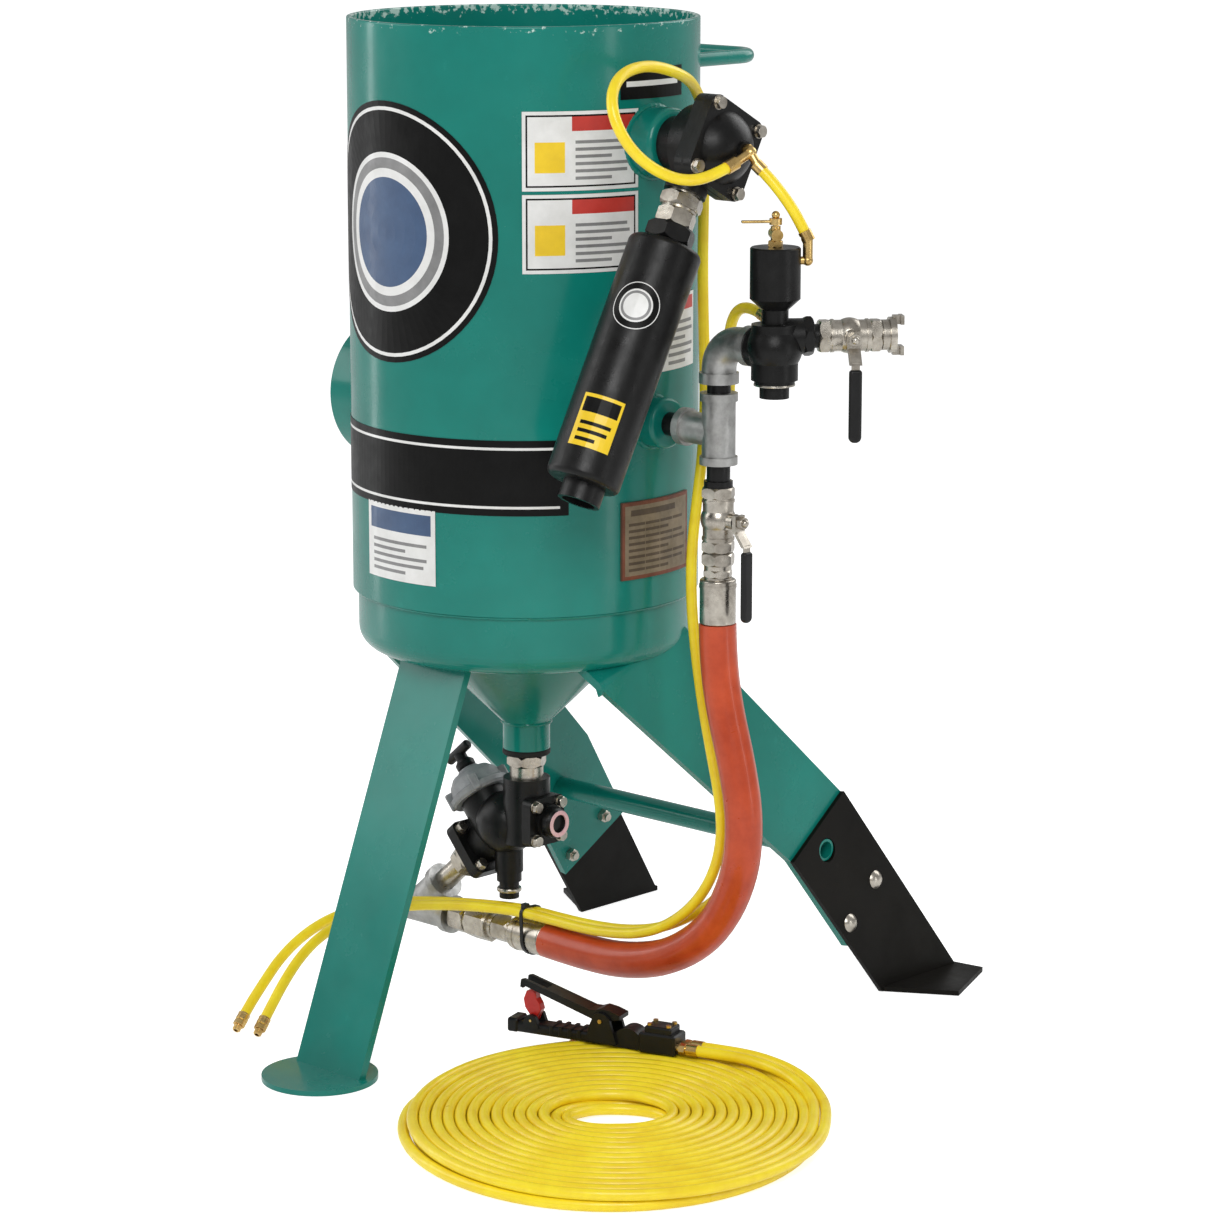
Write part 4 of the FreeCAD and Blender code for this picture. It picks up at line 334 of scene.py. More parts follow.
def make_floor():
    """A plain pale floor that is lighter to the camera than to the object standing on it."""
    half = FLOOR_HALF
    corners = [(-half, -half, 0), (half, -half, 0), (half, half, 0), (-half, half, 0)]
    mesh = bpy.data.meshes.new("floor")
    mesh.from_pydata(corners, [], [(0, 1, 2, 3)])
    floor = bpy.data.objects.new("floor", mesh)
    bpy.context.collection.objects.link(floor)
    floor.location.z = FLOOR_Z
    dark, light = FLOOR_GREY
    pale = new_material("floor", (dark, dark, dark), FLOOR_ROUGHNESS)
    link(pale, ramp(pale, noise(pale, 3.0), [(0.3, grey(dark)), (0.7, grey(light))]), "Base Color")
    seen = add_node(pale, "ShaderNodeLightPath").outputs["Is Camera Ray"]
    link(pale, remap(pale, seen, (0.0, 1.0), FLOOR_GLOW), "Emission Strength")
    surface_of(pale).inputs["Emission Color"].default_value = (1, 1, 1, 1)
    surface_of(pale).inputs["Specular IOR Level"].default_value = 0.1
    mesh.materials.append(pale)


def make_world():
    """White all round, lighter to the camera than as a light."""
    world = bpy.data.worlds.new("studio")
    world.use_nodes = True
    background = world.node_tree.nodes["Background"]
    background.inputs["Color"].default_value = (1.0, 1.0, 1.0, 1)
    seen = add_node(world, "ShaderNodeLightPath").outputs["Is Camera Ray"]
    world.node_tree.links.new(remap(world, seen, (0.0, 1.0), WORLD_GLOW), background.inputs["Strength"])
    bpy.context.scene.world = world


def make_lamps():
    """Soft rectangular lamps, all turned to the same point."""
    target = at(*LAMPS_AIM)
    for name, spot, power, width, height in LAMPS:
        lamp = bpy.data.lights.new(name, "AREA")
        lamp.shape = "RECTANGLE"
        lamp.energy = power
        lamp.size = width
        lamp.size_y = height
        lit = bpy.data.objects.new(name, lamp)
        lit.location = spot
        lit.rotation_euler = (target - lit.location).to_track_quat("-Z", "Y").to_euler()
        bpy.context.collection.objects.link(lit)


def make_stage():
    bpy.context.scene.view_settings.view_transform = "Standard"
    make_camera()
    make_floor()
    make_world()
    make_lamps()


# ---------------------------------------------------------------- cords

# The coil's two layers, the ring and the turn at which a hose is innermost, and the turn at which it leaves.
UPPER_Z = 0.01925
LOWER_Z = 0.0065
INNER_RING = 13.0
INNER_TURN = 6.5
LAST_TURN = 12.62
# Turns in which a hose goes down a layer, how far a ring strays, and the outer ring's distance from the edge.
SINK_TURNS = 0.7
STRAY = 0.0009
STRAY_DEEP = 1.6
OUTER_INSET = 0.0066

# Routes of the hoses, as places from the vessel's axis.
HOSE_A_ROUTE = (
    (0.346, -0.024, 1.049), (0.341, -0.054, 1.037), (0.332, -0.087, 1.033), (0.319, -0.119, 1.045),
    (0.306, -0.145, 1.068), (0.294, -0.158, 1.098), (0.283, -0.154, 1.125), (0.274, -0.134, 1.144),
    (0.268, -0.104, 1.153), (0.264, -0.068, 1.154), (0.261, -0.024, 1.144), (0.247, 0.020, 1.128),
    (0.228, 0.058, 1.091), (0.215, 0.073, 1.038), (0.211, 0.076, 0.980), (0.211, 0.075, 0.920),
    (0.214, 0.073, 0.864), (0.221, 0.068, 0.808), (0.229, 0.060, 0.752), (0.236, 0.048, 0.700),
    (0.240, 0.034, 0.648), (0.238, 0.028, 0.592), (0.241, 0.025, 0.536), (0.248, 0.025, 0.480),
    (0.260, 0.023, 0.424), (0.278, 0.019, 0.368), (0.296, 0.014, 0.318), (0.305, 0.009, 0.274),
    (0.298, 0.003, 0.230), (0.274, -0.002, 0.190), (0.237, -0.006, 0.159), (0.194, -0.008, 0.140),
    (0.146, -0.009, 0.131), (0.096, -0.010, 0.128), (0.046, -0.011, 0.129), (-0.006, -0.019, 0.131),
    (-0.058, -0.034, 0.129), (-0.106, -0.048, 0.124), (-0.146, -0.063, 0.118), (-0.173, -0.088, 0.112),
    (-0.186, -0.122, 0.104), (-0.187, -0.164, 0.094), (-0.180, -0.204, 0.078), (-0.168, -0.242, 0.057),
    (-0.159, -0.272, 0.034), (-0.153, -0.292, 0.018))
HOSE_B_ROUTE = (
    (0.345, 0.033, 0.874), (0.317, 0.042, 0.881), (0.288, 0.051, 0.878), (0.269, 0.058, 0.858),
    (0.264, 0.061, 0.828), (0.266, 0.061, 0.792), (0.267, 0.058, 0.746), (0.265, 0.051, 0.696),
    (0.259, 0.044, 0.644), (0.254, 0.041, 0.588), (0.255, 0.040, 0.530), (0.262, 0.039, 0.474),
    (0.275, 0.036, 0.418), (0.293, 0.032, 0.366), (0.310, 0.028, 0.320), (0.320, 0.025, 0.276),
    (0.313, 0.024, 0.232), (0.288, 0.021, 0.194), (0.249, 0.016, 0.166), (0.207, 0.010, 0.145),
    (0.160, 0.006, 0.134), (0.108, 0.005, 0.129), (0.056, 0.004, 0.128), (0.004, 0.002, 0.129),
    (-0.046, -0.009, 0.127), (-0.098, -0.026, 0.124), (-0.145, -0.043, 0.120), (-0.181, -0.061, 0.114),
    (-0.204, -0.092, 0.108), (-0.213, -0.130, 0.101), (-0.213, -0.172, 0.089), (-0.206, -0.214, 0.072),
    (-0.196, -0.250, 0.051), (-0.188, -0.280, 0.032), (-0.183, -0.298, 0.018))
LINK_ROUTE = (
    (0.361, -0.002, 1.046), (0.374, 0.003, 1.033), (0.389, 0.011, 1.013), (0.402, 0.019, 0.990),
    (0.411, 0.025, 0.968))
PUSHER_ROUTE = (
    (0.304, 0, 0.525), (0.305, 0, 0.482), (0.316, 0, 0.425), (0.335, 0, 0.365),
    (0.348, 0, 0.300), (0.340, 0, 0.232), (0.303, 0, 0.166), (0.240, 0, 0.120),
    (0.168, 0, 0.099), (0.098, 0, 0.095), (0.035, 0, 0.098))

# The twin hose's leads and tails, as (share of the way to the coil's edge, degrees, height).
LEAD_A = (
    (0.834, -46.7, 0.0355), (0.879, -36.8, 0.0350), (0.921, -27.3, 0.0325), (0.949, -18.3, 0.0285),
    (0.962, -9.6, 0.0235), (0.968, -0.9, 0.0200))
LEAD_B = (
    (0.780, -45.9, 0.0355), (0.826, -35.7, 0.0350), (0.870, -26.0, 0.0325), (0.896, -17.2, 0.0290),
    (0.909, -8.8, 0.0250), (0.9136, -0.2, 0.0210))
TAIL_A = (
    (0.990, 238.0, 0.0070), (1.016, 245.5, 0.0068), (1.029, 253.5, 0.0068), (1.033, 261.5, 0.0074))
TAIL_B = (
    (0.945, 240.0, 0.0070), (0.955, 249.0, 0.0068), (0.973, 258.0, 0.0068), (1.000, 267.0, 0.0068),
    (1.021, 275.5, 0.0068), (1.031, 284.0, 0.0074))

# Where a twin hose screws on to the remote handle, in the handle's own coordinates.
SWIVEL_END = -0.026
SWIVEL_Y = 0.0075
SWIVEL_Z = 0.009

# Brass hose ends: the thread's turns, start and pitch, and the hexagon nut.
THREAD_TURNS = 5
THREAD_START = 0.0072
THREAD_PITCH = 0.0013
TIP_NUT_R = 0.0075
TIP_NUT_LENGTH = 0.0068
TIP_NUT_BEVEL = 0.0005
TIP_NUT_MIDDLE = 0.0036


def make_cord(name, points, diameter):
    """A hose as one smooth spline whose control points are the route."""
    curve = bpy.data.curves.new(name, "CURVE")
    curve.dimensions = "3D"
    curve.bevel_depth = diameter / 2
    curve.bevel_resolution = 5
    curve.resolution_u = 5
    curve.use_fill_caps = True
    spline = curve.splines.new("NURBS")
    spline.points.add(len(points) - 1)
    for control, point in zip(spline.points, points):
        control.co = (*point, 1)
    spline.order_u = 3
    spline.use_endpoint_u = True
    cord = bpy.data.objects.new(name, curve)
    bpy.context.collection.objects.link(cord)
    return cord


def coil_point(share, degrees, z):
    """A place on the coil: share of the way to its edge, angle clockwise from its short axis, height."""
    return ring_point(COIL_ACROSS * share, COIL_DEEP * share, degrees, z)


def ring_point(across, deep, degrees, z):
    """A place on an ellipse about the coil's middle, with its half widths given."""
    angle = math.radians(degrees)
    a = across * math.cos(angle)
    d = deep * math.sin(angle)
    return at(COIL_MIDDLE[0] + a * math.cos(COIL_YAW) + d * math.sin(COIL_YAW),
              COIL_MIDDLE[1] + a * math.sin(COIL_YAW) - d * math.cos(COIL_YAW), z)


def in_handle(x, y, z):
    """A place on the remote handle: x from its rear to its tip, y across, z up."""
    c = math.cos(HANDLE_YAW)
    s = math.sin(HANDLE_YAW)
    return at(HANDLE_REAR[0] + x * c - y * s, HANDLE_REAR[1] + x * s + y * c, HANDLE_REAR[2] + z)


def coil_turns(ring_offset, start_degrees):
    """Turns of one hose: inwards along the upper layer, down, and outwards along the lower one."""
    points = []
    # A spline of this order cuts inside its control points by this share of the radius.
    swell = 1 / math.cos(math.pi / POINTS_PER_TURN)
    count = int(LAST_TURN * POINTS_PER_TURN)
    for i in range(1, count + 1):
        turn = i / POINTS_PER_TURN
        if turn < INNER_TURN:
            ring = turn * INNER_RING / INNER_TURN
        else:
            ring = INNER_RING * (LAST_TURN - turn) / (LAST_TURN - INNER_TURN)
        ring += ring_offset
        sink = min(1, max(0, (turn - INNER_TURN + SINK_TURNS / 2) / SINK_TURNS))
        z = UPPER_Z + (LOWER_Z - UPPER_Z) * sink * sink * (3 - 2 * sink)
        stray = random.uniform(-STRAY, STRAY)
        across = COIL_ACROSS - OUTER_INSET - RING_ACROSS * ring + stray
        deep = COIL_DEEP - OUTER_INSET - RING_DEEP * ring + STRAY_DEEP * stray
        points.append(ring_point(across * swell, deep * swell, start_degrees + 360 * turn, z))
    return points


def twin_hose(name, side, lead, tail, ring_offset):
    """One hose of the pair, from the handle's swivel through the coil to its tail, and its exit point."""
    exit_point = in_handle(SWIVEL_END, side * SWIVEL_Y, SWIVEL_Z)
    points = [exit_point] + [coil_point(*spot) for spot in lead]
    points += coil_turns(ring_offset, lead[-1][1])
    points += [coil_point(*spot) for spot in tail]
    return make_cord(name, points, HOSE_D), exit_point


def tip_profile():
    """Ferrule, swivel hexagon's shoulder and screw thread of a hose end, as (radius, length) steps."""
    steps = [(0.0066, -0.0100), (0.0074, -0.0098), (0.0074, -0.0080), (0.0070, -0.0075), (0.0070, -0.0055),
             (0.0074, -0.0050), (0.0074, -0.0010), (0.0060, 0.0), (0.0060, 0.0004)]
    for i in range(THREAD_TURNS):
        low = THREAD_START + THREAD_PITCH * i
        steps += [(0.0044, low), (0.0050, low + 0.0005), (0.0044, low + 0.0011)]
    return steps + [(0.0040, 0.0140), (0.0026, 0.0140), (0.0026, 0.0040)]


def lathe_mesh(name, steps, segments=28, ring=False):
    """A turned piece along +Z from (radius, length) steps, which for a ring go right round its section."""
    shape = bmesh.new()
    loops = []
    for radius, length in steps:
        loop = []
        for i in range(segments):
            angle = 2 * math.pi * i / segments
            loop.append(shape.verts.new((radius * math.cos(angle), radius * math.sin(angle), length)))
        loops.append(loop)
    for lower, upper in zip(loops, loops[1:] + loops[:1] if ring else loops[1:]):
        for i in range(segments):
            j = (i + 1) % segments
            shape.faces.new((lower[i], lower[j], upper[j], upper[i]))
    if not ring:
        shape.faces.new(list(reversed(loops[0])))
        shape.faces.new(loops[-1])
    return bake(name, shape)


def bake(name, shape, smooth=True):
    """Turn a bmesh into a mesh object with outward faces."""
    bmesh.ops.recalc_face_normals(shape, faces=shape.faces)
    mesh = bpy.data.meshes.new(name)
    shape.to_mesh(mesh)
    shape.free()
    for face in mesh.polygons:
        face.use_smooth = smooth
    made = bpy.data.objects.new(name, mesh)
    bpy.context.collection.objects.link(made)
    if smooth:
        split_edges(made)
    return made


def split_edges(piece, degrees=35):
    """Shade smooth but keep edges sharper than the angle crisp."""
    mesh = piece.data
    shape = bmesh.new()
    shape.from_mesh(mesh)
    for edge in shape.edges:
        if len(edge.link_faces) == 2 and edge.calc_face_angle(0) > math.radians(degrees):
            edge.smooth = False
    shape.to_mesh(mesh)
    shape.free()


def aim_piece(piece, base, direction):
    """Carry a piece made along +Z to its base, pointing in the direction."""
    turn = Vector(direction).normalized().to_track_quat("Z", "Y").to_matrix().to_4x4()
    piece.data.transform(Matrix.Translation(base) @ turn)
    return piece


def make_hose_tip(name, points):
    """The brass end with its nut, at the last of the hose's points."""
    tip = lathe_mesh(name, tip_profile())
    nut = bmesh.new()
    bmesh.ops.create_cone(nut, segments=6, cap_ends=True, radius1=TIP_NUT_R, radius2=TIP_NUT_R,
                          depth=TIP_NUT_LENGTH)
    bmesh.ops.bevel(nut, geom=nut.edges, offset=TIP_NUT_BEVEL, segments=1, affect="EDGES")
    bmesh.ops.translate(nut, verts=nut.verts, vec=(0, 0, TIP_NUT_MIDDLE))
    nut_piece = bake(name + "_nut", nut, smooth=False)
    join_meshes(tip, [nut_piece])
    aim_piece(tip, points[-1], points[-1] - points[-2])
    return finish_piece(tip, "brass")


def join_meshes(main, others):
    """Join mesh objects into the first one."""
    shape = bmesh.new()
    shape.from_mesh(main.data)
    for other in others:
        shape.from_mesh(other.data)
        mesh = other.data
        bpy.data.objects.remove(other)
        bpy.data.meshes.remove(mesh)
    shape.to_mesh(main.data)
    shape.free()


def route(points):
    """Points given from the vessel's axis, in the frame."""
    return [at(*point) for point in points]


def make_cords():
    """Every hose with its brass ends, standing for its CAD solids, which are hidden."""
    pusher = make_cord("pusher_hose_skin", route(PUSHER_ROUTE), PUSHER_D)
    finish_piece(pusher, "orange_hose")
    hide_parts("pusher_hose")

    for name, points, length in (("pilot_hose_a", HOSE_A_ROUTE, 2.07), ("pilot_hose_b", HOSE_B_ROUTE, 1.52)):
        hose = finish_piece(make_cord(name, route(points), HOSE_D), "yellow_hose")
        tip = make_hose_tip(name + "_tip", route(points))
        if name == "pilot_hose_a":
            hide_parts("pilot_hoses")
            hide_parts("hose_tips")

    link_hose = finish_piece(make_cord("link_hose", route(LINK_ROUTE), HOSE_D), "yellow_hose")

    for name, side, lead, tail, offset in (("twin_hose_a", -1, LEAD_A, TAIL_A, 0.0),
                                           ("twin_hose_b", 1, LEAD_B, TAIL_B, 1.0)):
        hose, exit_point = twin_hose(name, side, lead, tail, offset)
        finish_piece(hose, "yellow_hose")
        tip = make_hose_tip(name + "_tip", [coil_point(*spot) for spot in tail])
        if side < 0:
            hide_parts("hose_coil", "twin_leads")


# ---------------------------------------------------------------- labels

LABEL_COLOURS = ("decal_black", "decal_white", "decal_red", "decal_yellow", "decal_grey", "decal_blue",
                 "plate_edge", "plate_face", "plate_mark")
(BLACK, WHITE, RED, YELLOW, GREY, BLUE,
 PLATE_EDGE, PLATE_FACE, PLATE_MARK) = range(len(LABEL_COLOURS))
VESSEL_SKIN = SHELL_R + 0.0001
CAMERA_TURN = math.radians(43.4)
TO_CAMERA = Vector((math.sin(CAMERA_TURN), -math.cos(CAMERA_TURN), 0))
# Longest steps of a label's mesh along the girth, along the axis and out from a badge's middle.
GIRTH_STEP = 0.008
AXIS_STEP = 0.03
BADGE_STEP = 0.02
BADGE_SIDES = 72
BADGE_LIFT = 0.0006
# Bars that stand for print: their share of the pitch, and how much shorter some of them are.
BAR_SHARE = 0.45
BAR_SHORT = 0.35
BAR_TRIM = 0.05

# The round badge: degrees from the line that faces the camera, height, and bands from the middle out.
BADGE_DEGREES = -48.6
BADGE_Z = 0.960
BADGE_BANDS = ((0.062, BLUE), (0.072, WHITE), (0.084, GREY), (0.090, WHITE), (0.137, BLACK), (0.141, WHITE),
               (0.1475, BLACK))

# Labels on the vessel: degrees from the line that faces the camera, heights, ground colour, marks and print.
# A mark is its distance from the left edge and from the right edge, two heights and a colour.
# Print is the same distances and heights, and its number of lines.
FRONT_BAND = ((-112, 15), (0.647, 0.733), BLACK,
              ((0.010, 0.010, 0.655, 0.658, WHITE), (0.010, 0.010, 0.722, 0.725, WHITE)), ())
SIDE_LABEL = ((-61, -29), (0.561, 0.648), WHITE,
              ((0.006, 0.006, 0.618, 0.642, BLUE),), (0.012, 0.012, 0.570, 0.612, 5))
RIGHT_LABEL = ((46, 73), (0.800, 0.885), WHITE,
               ((0.028, 0.004, 0.866, 0.881, RED),), (0.030, 0.006, 0.806, 0.860, 6))
PORT_LABEL = ((33, 62), (1.111, 1.145), BLACK,
              ((0.008, 0.010, 1.125, 1.131, WHITE),), ())

# The two panels on the front: an outline, a square, a bar and print, by distances from the edges.
PANELS_DEGREES = (0.5, 39.9)
PANELS_Z = (0.921, 1.101)
PANELS_HALF_GAP = 0.002
OUTLINE_OUTER = 0.004
OUTLINE_INNER = 0.006
SQUARE_ACROSS = (0.014, 0.048)
SQUARE_UP = (0.020, 0.054)
TITLE_LEFT = 0.056
TITLE_DOWN = (0.022, 0.006)
PRINT_ACROSS = (0.060, 0.012)
PRINT_UP_DOWN = (0.012, 0.028)
PRINT_LINES = 6

# The data plate's lines: the plate's radius, sides and heights, and distances from its edges.
PLATE_R = SHELL_R + 0.0026
PLATE_DEGREES = (-13.3, 19.3)
PLATE_Z = (0.5665, 0.6555)
PLATE_LIFT = 0.0004
PLATE_BORDER = 0.004
PLATE_MARGIN = 0.009
PLATE_PRINT_DOWN = 0.020
PLATE_LINES = 8
PLATE_COLUMNS = 3
PLATE_COLUMN = 0.024
PLATE_COLUMN_LINE = (0.009, 0.010)
PLATE_COLUMN_UP = 0.008
PLATE_TITLE = (0.012, 0.030, 0.016, 0.009)

# The silencer's badge and label, by girth and distance along its axis.
SILENCER_TILT = math.radians(28.5)
SILENCER_END = (0.276, 0, 1.062)
SILENCER_SKIN = 0.0421
SILENCER_BADGE_AT = (-0.012, -0.205)
SILENCER_BANDS = ((0.014, WHITE), (0.017, GREY), (0.019, WHITE), (0.026, BLACK), (0.027, WHITE))
SILENCER_LABEL = ((-0.034, 0.014), (-0.372, -0.312))
SILENCER_TITLE = (-0.031, 0.011, -0.333, -0.316, BLACK)
SILENCER_PRINT = (-0.028, 0.008, -0.366, -0.338, 3, BLACK)


class Wrap:
    """The outside of a cylinder, on which labels are laid: along its girth and along its axis, in metres."""

    def __init__(self, origin, axis, facing, radius):
        self.origin = Vector(origin)
        self.axis = Vector(axis).normalized()
        self.out = Vector(facing).normalized()
        self.side = self.axis.cross(self.out)
        self.radius = radius

    def point(self, girth, height, lift):
        angle = girth / self.radius
        direction = self.out * math.cos(angle) + self.side * math.sin(angle)
        return self.origin + self.axis * height + direction * (self.radius + lift)


def finish_label(label):
    """Give a label all the label colours and its body."""
    for colour in LABEL_COLOURS:
        label.data.materials.append(MATERIALS[colour])
    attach(label, "frame")
    return label


def label_mesh(name, wrap, grid, colour_of, slot_name="black_vinyl", lift=0.0005):
    """A thin closed label. grid holds rows of (girth, height); colour_of says each cell's colour."""
    shape = bmesh.new()
    layers = []
    for height in (lift, 0.0):
        layers.append([[shape.verts.new(wrap.point(g, h, height)) for g, h in row] for row in grid])
    top, bottom = layers
    rows = len(grid)
    columns = len(grid[0])
    for i in range(rows - 1):
        for j in range(columns - 1):
            face = shape.faces.new((top[i][j], top[i][j + 1], top[i + 1][j + 1], top[i + 1][j]))
            g = (grid[i][j][0] + grid[i + 1][j + 1][0]) / 2
            h = (grid[i][j][1] + grid[i + 1][j + 1][1]) / 2
            face.material_index = colour_of(g, h)
            shape.faces.new((bottom[i + 1][j], bottom[i + 1][j + 1], bottom[i][j + 1], bottom[i][j]))
    edge = [(0, j) for j in range(columns)] + [(i, columns - 1) for i in range(1, rows)]
    edge += [(rows - 1, j) for j in range(columns - 2, -1, -1)] + [(i, 0) for i in range(rows - 2, 0, -1)]
    for (a, b), (c, d) in zip(edge, edge[1:] + edge[:1]):
        shape.faces.new((bottom[a][b], bottom[c][d], top[c][d], top[a][b]))
    return finish_label(bake(name, shape, smooth=False))


def steps_between(low, high, breaks, step):
    """Low to high in steps no longer than step, with the breaks among them."""
    stops = sorted({low, high, *[b for b in breaks if low < b < high]})
    values = []
    for start, end in zip(stops, stops[1:]):
        count = max(1, math.ceil((end - start) / step))
        values += [start + (end - start) * i / count for i in range(count)]
    return values + [high]


def panel(name, wrap, girth, height, marks, ground=WHITE, **more):
    """A rectangular label. marks are (girth low, girth high, height low, height high, colour)."""
    across = steps_between(*girth, [m for mark in marks for m in mark[:2]], GIRTH_STEP)
    along = steps_between(*height, [m for mark in marks for m in mark[2:4]], AXIS_STEP)

    def colour_of(g, h):
        found = ground
        for g_low, g_high, h_low, h_high, colour in marks:
            if g_low < g < g_high and h_low < h < h_high:
                found = colour
        return found

    return label_mesh(name, wrap, [[(g, h) for g in across] for h in along], colour_of, **more)


def badge_rings(bands):
    """The radii and colours of a badge's rings, with wide bands split so that they follow the cylinder."""
    rings = []
    inner = 0.0
    for radius, colour in bands:
        count = max(1, math.ceil((radius - inner) / BADGE_STEP))
        rings += [(inner + (radius - inner) * (k + 1) / count, colour) for k in range(count)]
        inner = radius
    return rings


def badge_loop(shape, wrap, centre, radius, lift):
    """The vertices of one circle of a badge, laid on the cylinder."""
    loop = []
    for i in range(BADGE_SIDES):
        angle = 2 * math.pi * i / BADGE_SIDES
        girth = centre[0] + radius * math.cos(angle)
        height = centre[1] + radius * math.sin(angle)
        loop.append(shape.verts.new(wrap.point(girth, height, lift)))
    return loop


def round_badge(name, wrap, centre, bands):
    """A round label of concentric bands, as (outer radius, colour) from the middle out."""
    shape = bmesh.new()
    middle = shape.verts.new(wrap.point(*centre, BADGE_LIFT))
    rings = badge_rings(bands)
    edge_radius, edge_colour = bands[-1]
    loops = [badge_loop(shape, wrap, centre, ring[0], BADGE_LIFT) for ring in rings]
    loops.append(badge_loop(shape, wrap, centre, edge_radius, 0.0))
    colours = [ring[1] for ring in rings] + [edge_colour]
    for i in range(BADGE_SIDES):
        face = shape.faces.new((middle, loops[0][i], loops[0][(i + 1) % BADGE_SIDES]))
        face.material_index = colours[0]
    for inner, outer, colour in zip(loops, loops[1:], colours[1:]):
        for i in range(BADGE_SIDES):
            j = (i + 1) % BADGE_SIDES
            face = shape.faces.new((inner[i], outer[i], outer[j], inner[j]))
            face.material_index = colour
    shape.faces.new(list(reversed(loops[-1])))
    return finish_label(bake(name, shape, smooth=False))


def text_bars(g_low, g_high, h_low, h_high, count, colour=GREY):
    """Plain bars that stand for lines of small print, with every third one short."""
    pitch = (h_high - h_low) / count
    bars = []
    for i in range(count):
        end = g_high - (g_high - g_low) * (BAR_SHORT if i % 3 == 0 else BAR_TRIM * (i % 2))
        bars.append((g_low, end, h_low + pitch * i, h_low + pitch * (i + BAR_SHARE), colour))
    return bars


def arc(degrees):
    """Distance round the vessel from the line that faces the camera."""
    return math.radians(degrees) * SHELL_R


def vessel_label(name, vessel, degrees, heights, ground, marks, small_print):
    """A label from its table, whose marks and print are given by their distances from its sides."""
    low, high = arc(degrees[0]), arc(degrees[1])
    placed = [(low + left, high - right, bottom, top, colour) for left, right, bottom, top, colour in marks]
    if small_print:
        left, right, bottom, top, lines = small_print
        placed += text_bars(low + left, high - right, bottom, top, lines)
    panel(name, vessel, (low, high), heights, placed, ground=ground)


def front_panel(name, vessel, bottom, top):
    """A white panel with a black outline, a yellow square, a red bar and small print."""
    low, high = arc(PANELS_DEGREES[0]), arc(PANELS_DEGREES[1])
    marks = [(low + OUTLINE_OUTER, high - OUTLINE_OUTER, bottom + OUTLINE_OUTER, top - OUTLINE_OUTER, BLACK),
             (low + OUTLINE_INNER, high - OUTLINE_INNER, bottom + OUTLINE_INNER, top - OUTLINE_INNER, WHITE),
             (low + SQUARE_ACROSS[0], low + SQUARE_ACROSS[1], bottom + SQUARE_UP[0], bottom + SQUARE_UP[1],
              YELLOW),
             (low + TITLE_LEFT, high - OUTLINE_INNER, top - TITLE_DOWN[0], top - TITLE_DOWN[1], RED)]
    marks += text_bars(low + PRINT_ACROSS[0], high - PRINT_ACROSS[1], bottom + PRINT_UP_DOWN[0],
                       top - PRINT_UP_DOWN[1], PRINT_LINES)
    panel(name, vessel, (low, high), (bottom, top), marks)


def make_vessel_labels():
    """The badge, band, panels and small labels that lie on the vessel."""
    vessel = Wrap(AXIS, (0, 0, 1), TO_CAMERA, VESSEL_SKIN)
    round_badge("front_badge", vessel, (arc(BADGE_DEGREES), BADGE_Z), BADGE_BANDS)
    vessel_label("front_band", vessel, *FRONT_BAND)
    vessel_label("side_label", vessel, *SIDE_LABEL)
    bottom, top = PANELS_Z
    middle = (bottom + top) / 2
    front_panel("upper_panel", vessel, middle + PANELS_HALF_GAP, top)
    front_panel("lower_panel", vessel, bottom, middle - PANELS_HALF_GAP)
    vessel_label("right_label", vessel, *RIGHT_LABEL)
    vessel_label("port_label", vessel, *PORT_LABEL)


def make_plate_lines():
    """The data plate's look: a dark edge, a bright face, rows of bars cut by columns, and a title bar."""
    plate = Wrap(AXIS, (0, 0, 1), (1, 0, 0), PLATE_R)
    low, high = (math.radians(degrees) * PLATE_R for degrees in PLATE_DEGREES)
    bottom, top = PLATE_Z
    marks = [(low + PLATE_BORDER, high - PLATE_BORDER, bottom + PLATE_BORDER, top - PLATE_BORDER, PLATE_FACE)]
    marks += text_bars(low + PLATE_MARGIN, high - PLATE_MARGIN, bottom + PLATE_MARGIN, top - PLATE_PRINT_DOWN,
                       PLATE_LINES, PLATE_MARK)
    left, right = PLATE_COLUMN_LINE
    marks += [(low + left + PLATE_COLUMN * i, low + right + PLATE_COLUMN * i, bottom + PLATE_COLUMN_UP,
               top - PLATE_PRINT_DOWN, PLATE_FACE) for i in range(1, PLATE_COLUMNS + 1)]
    left, right, down, down_to = PLATE_TITLE
    marks.append((low + left, high - right, top - down, top - down_to, PLATE_MARK))
    panel("plate_lines", plate, (low, high), (bottom, top), marks, ground=PLATE_EDGE, slot_name="brown_plate",
          lift=PLATE_LIFT)


def make_silencer_labels():
    """The badge and the label that lie on the side of the silencer that faces the camera."""
    axis = Vector((0, -math.sin(SILENCER_TILT), -math.cos(SILENCER_TILT)))
    silencer = Wrap(at(*SILENCER_END), -axis, TO_CAMERA - axis * TO_CAMERA.dot(axis), SILENCER_SKIN)
    round_badge("silencer_badge", silencer, SILENCER_BADGE_AT, SILENCER_BANDS)
    panel("silencer_label", silencer, *SILENCER_LABEL, [SILENCER_TITLE] + text_bars(*SILENCER_PRINT),
          ground=YELLOW)


def make_labels():
    make_vessel_labels()
    make_plate_lines()
    make_silencer_labels()


# ---------------------------------------------------------------- welds, tie and rings

# A weld bead's sides, steps to a ripple, and its radius as shares: least, ripple, and a slow change.
BEAD_SIDES = 8
RIPPLE_STEPS = 3
BEAD_LEAST = 0.82
BEAD_RIPPLE = 0.18
BEAD_CHANGE = 0.06
BEAD_CHANGE_RATE = 0.37
BOSS_BEAD = 0.0034
BOSS_STEP = 0.0022
RING_STEP = 0.0026
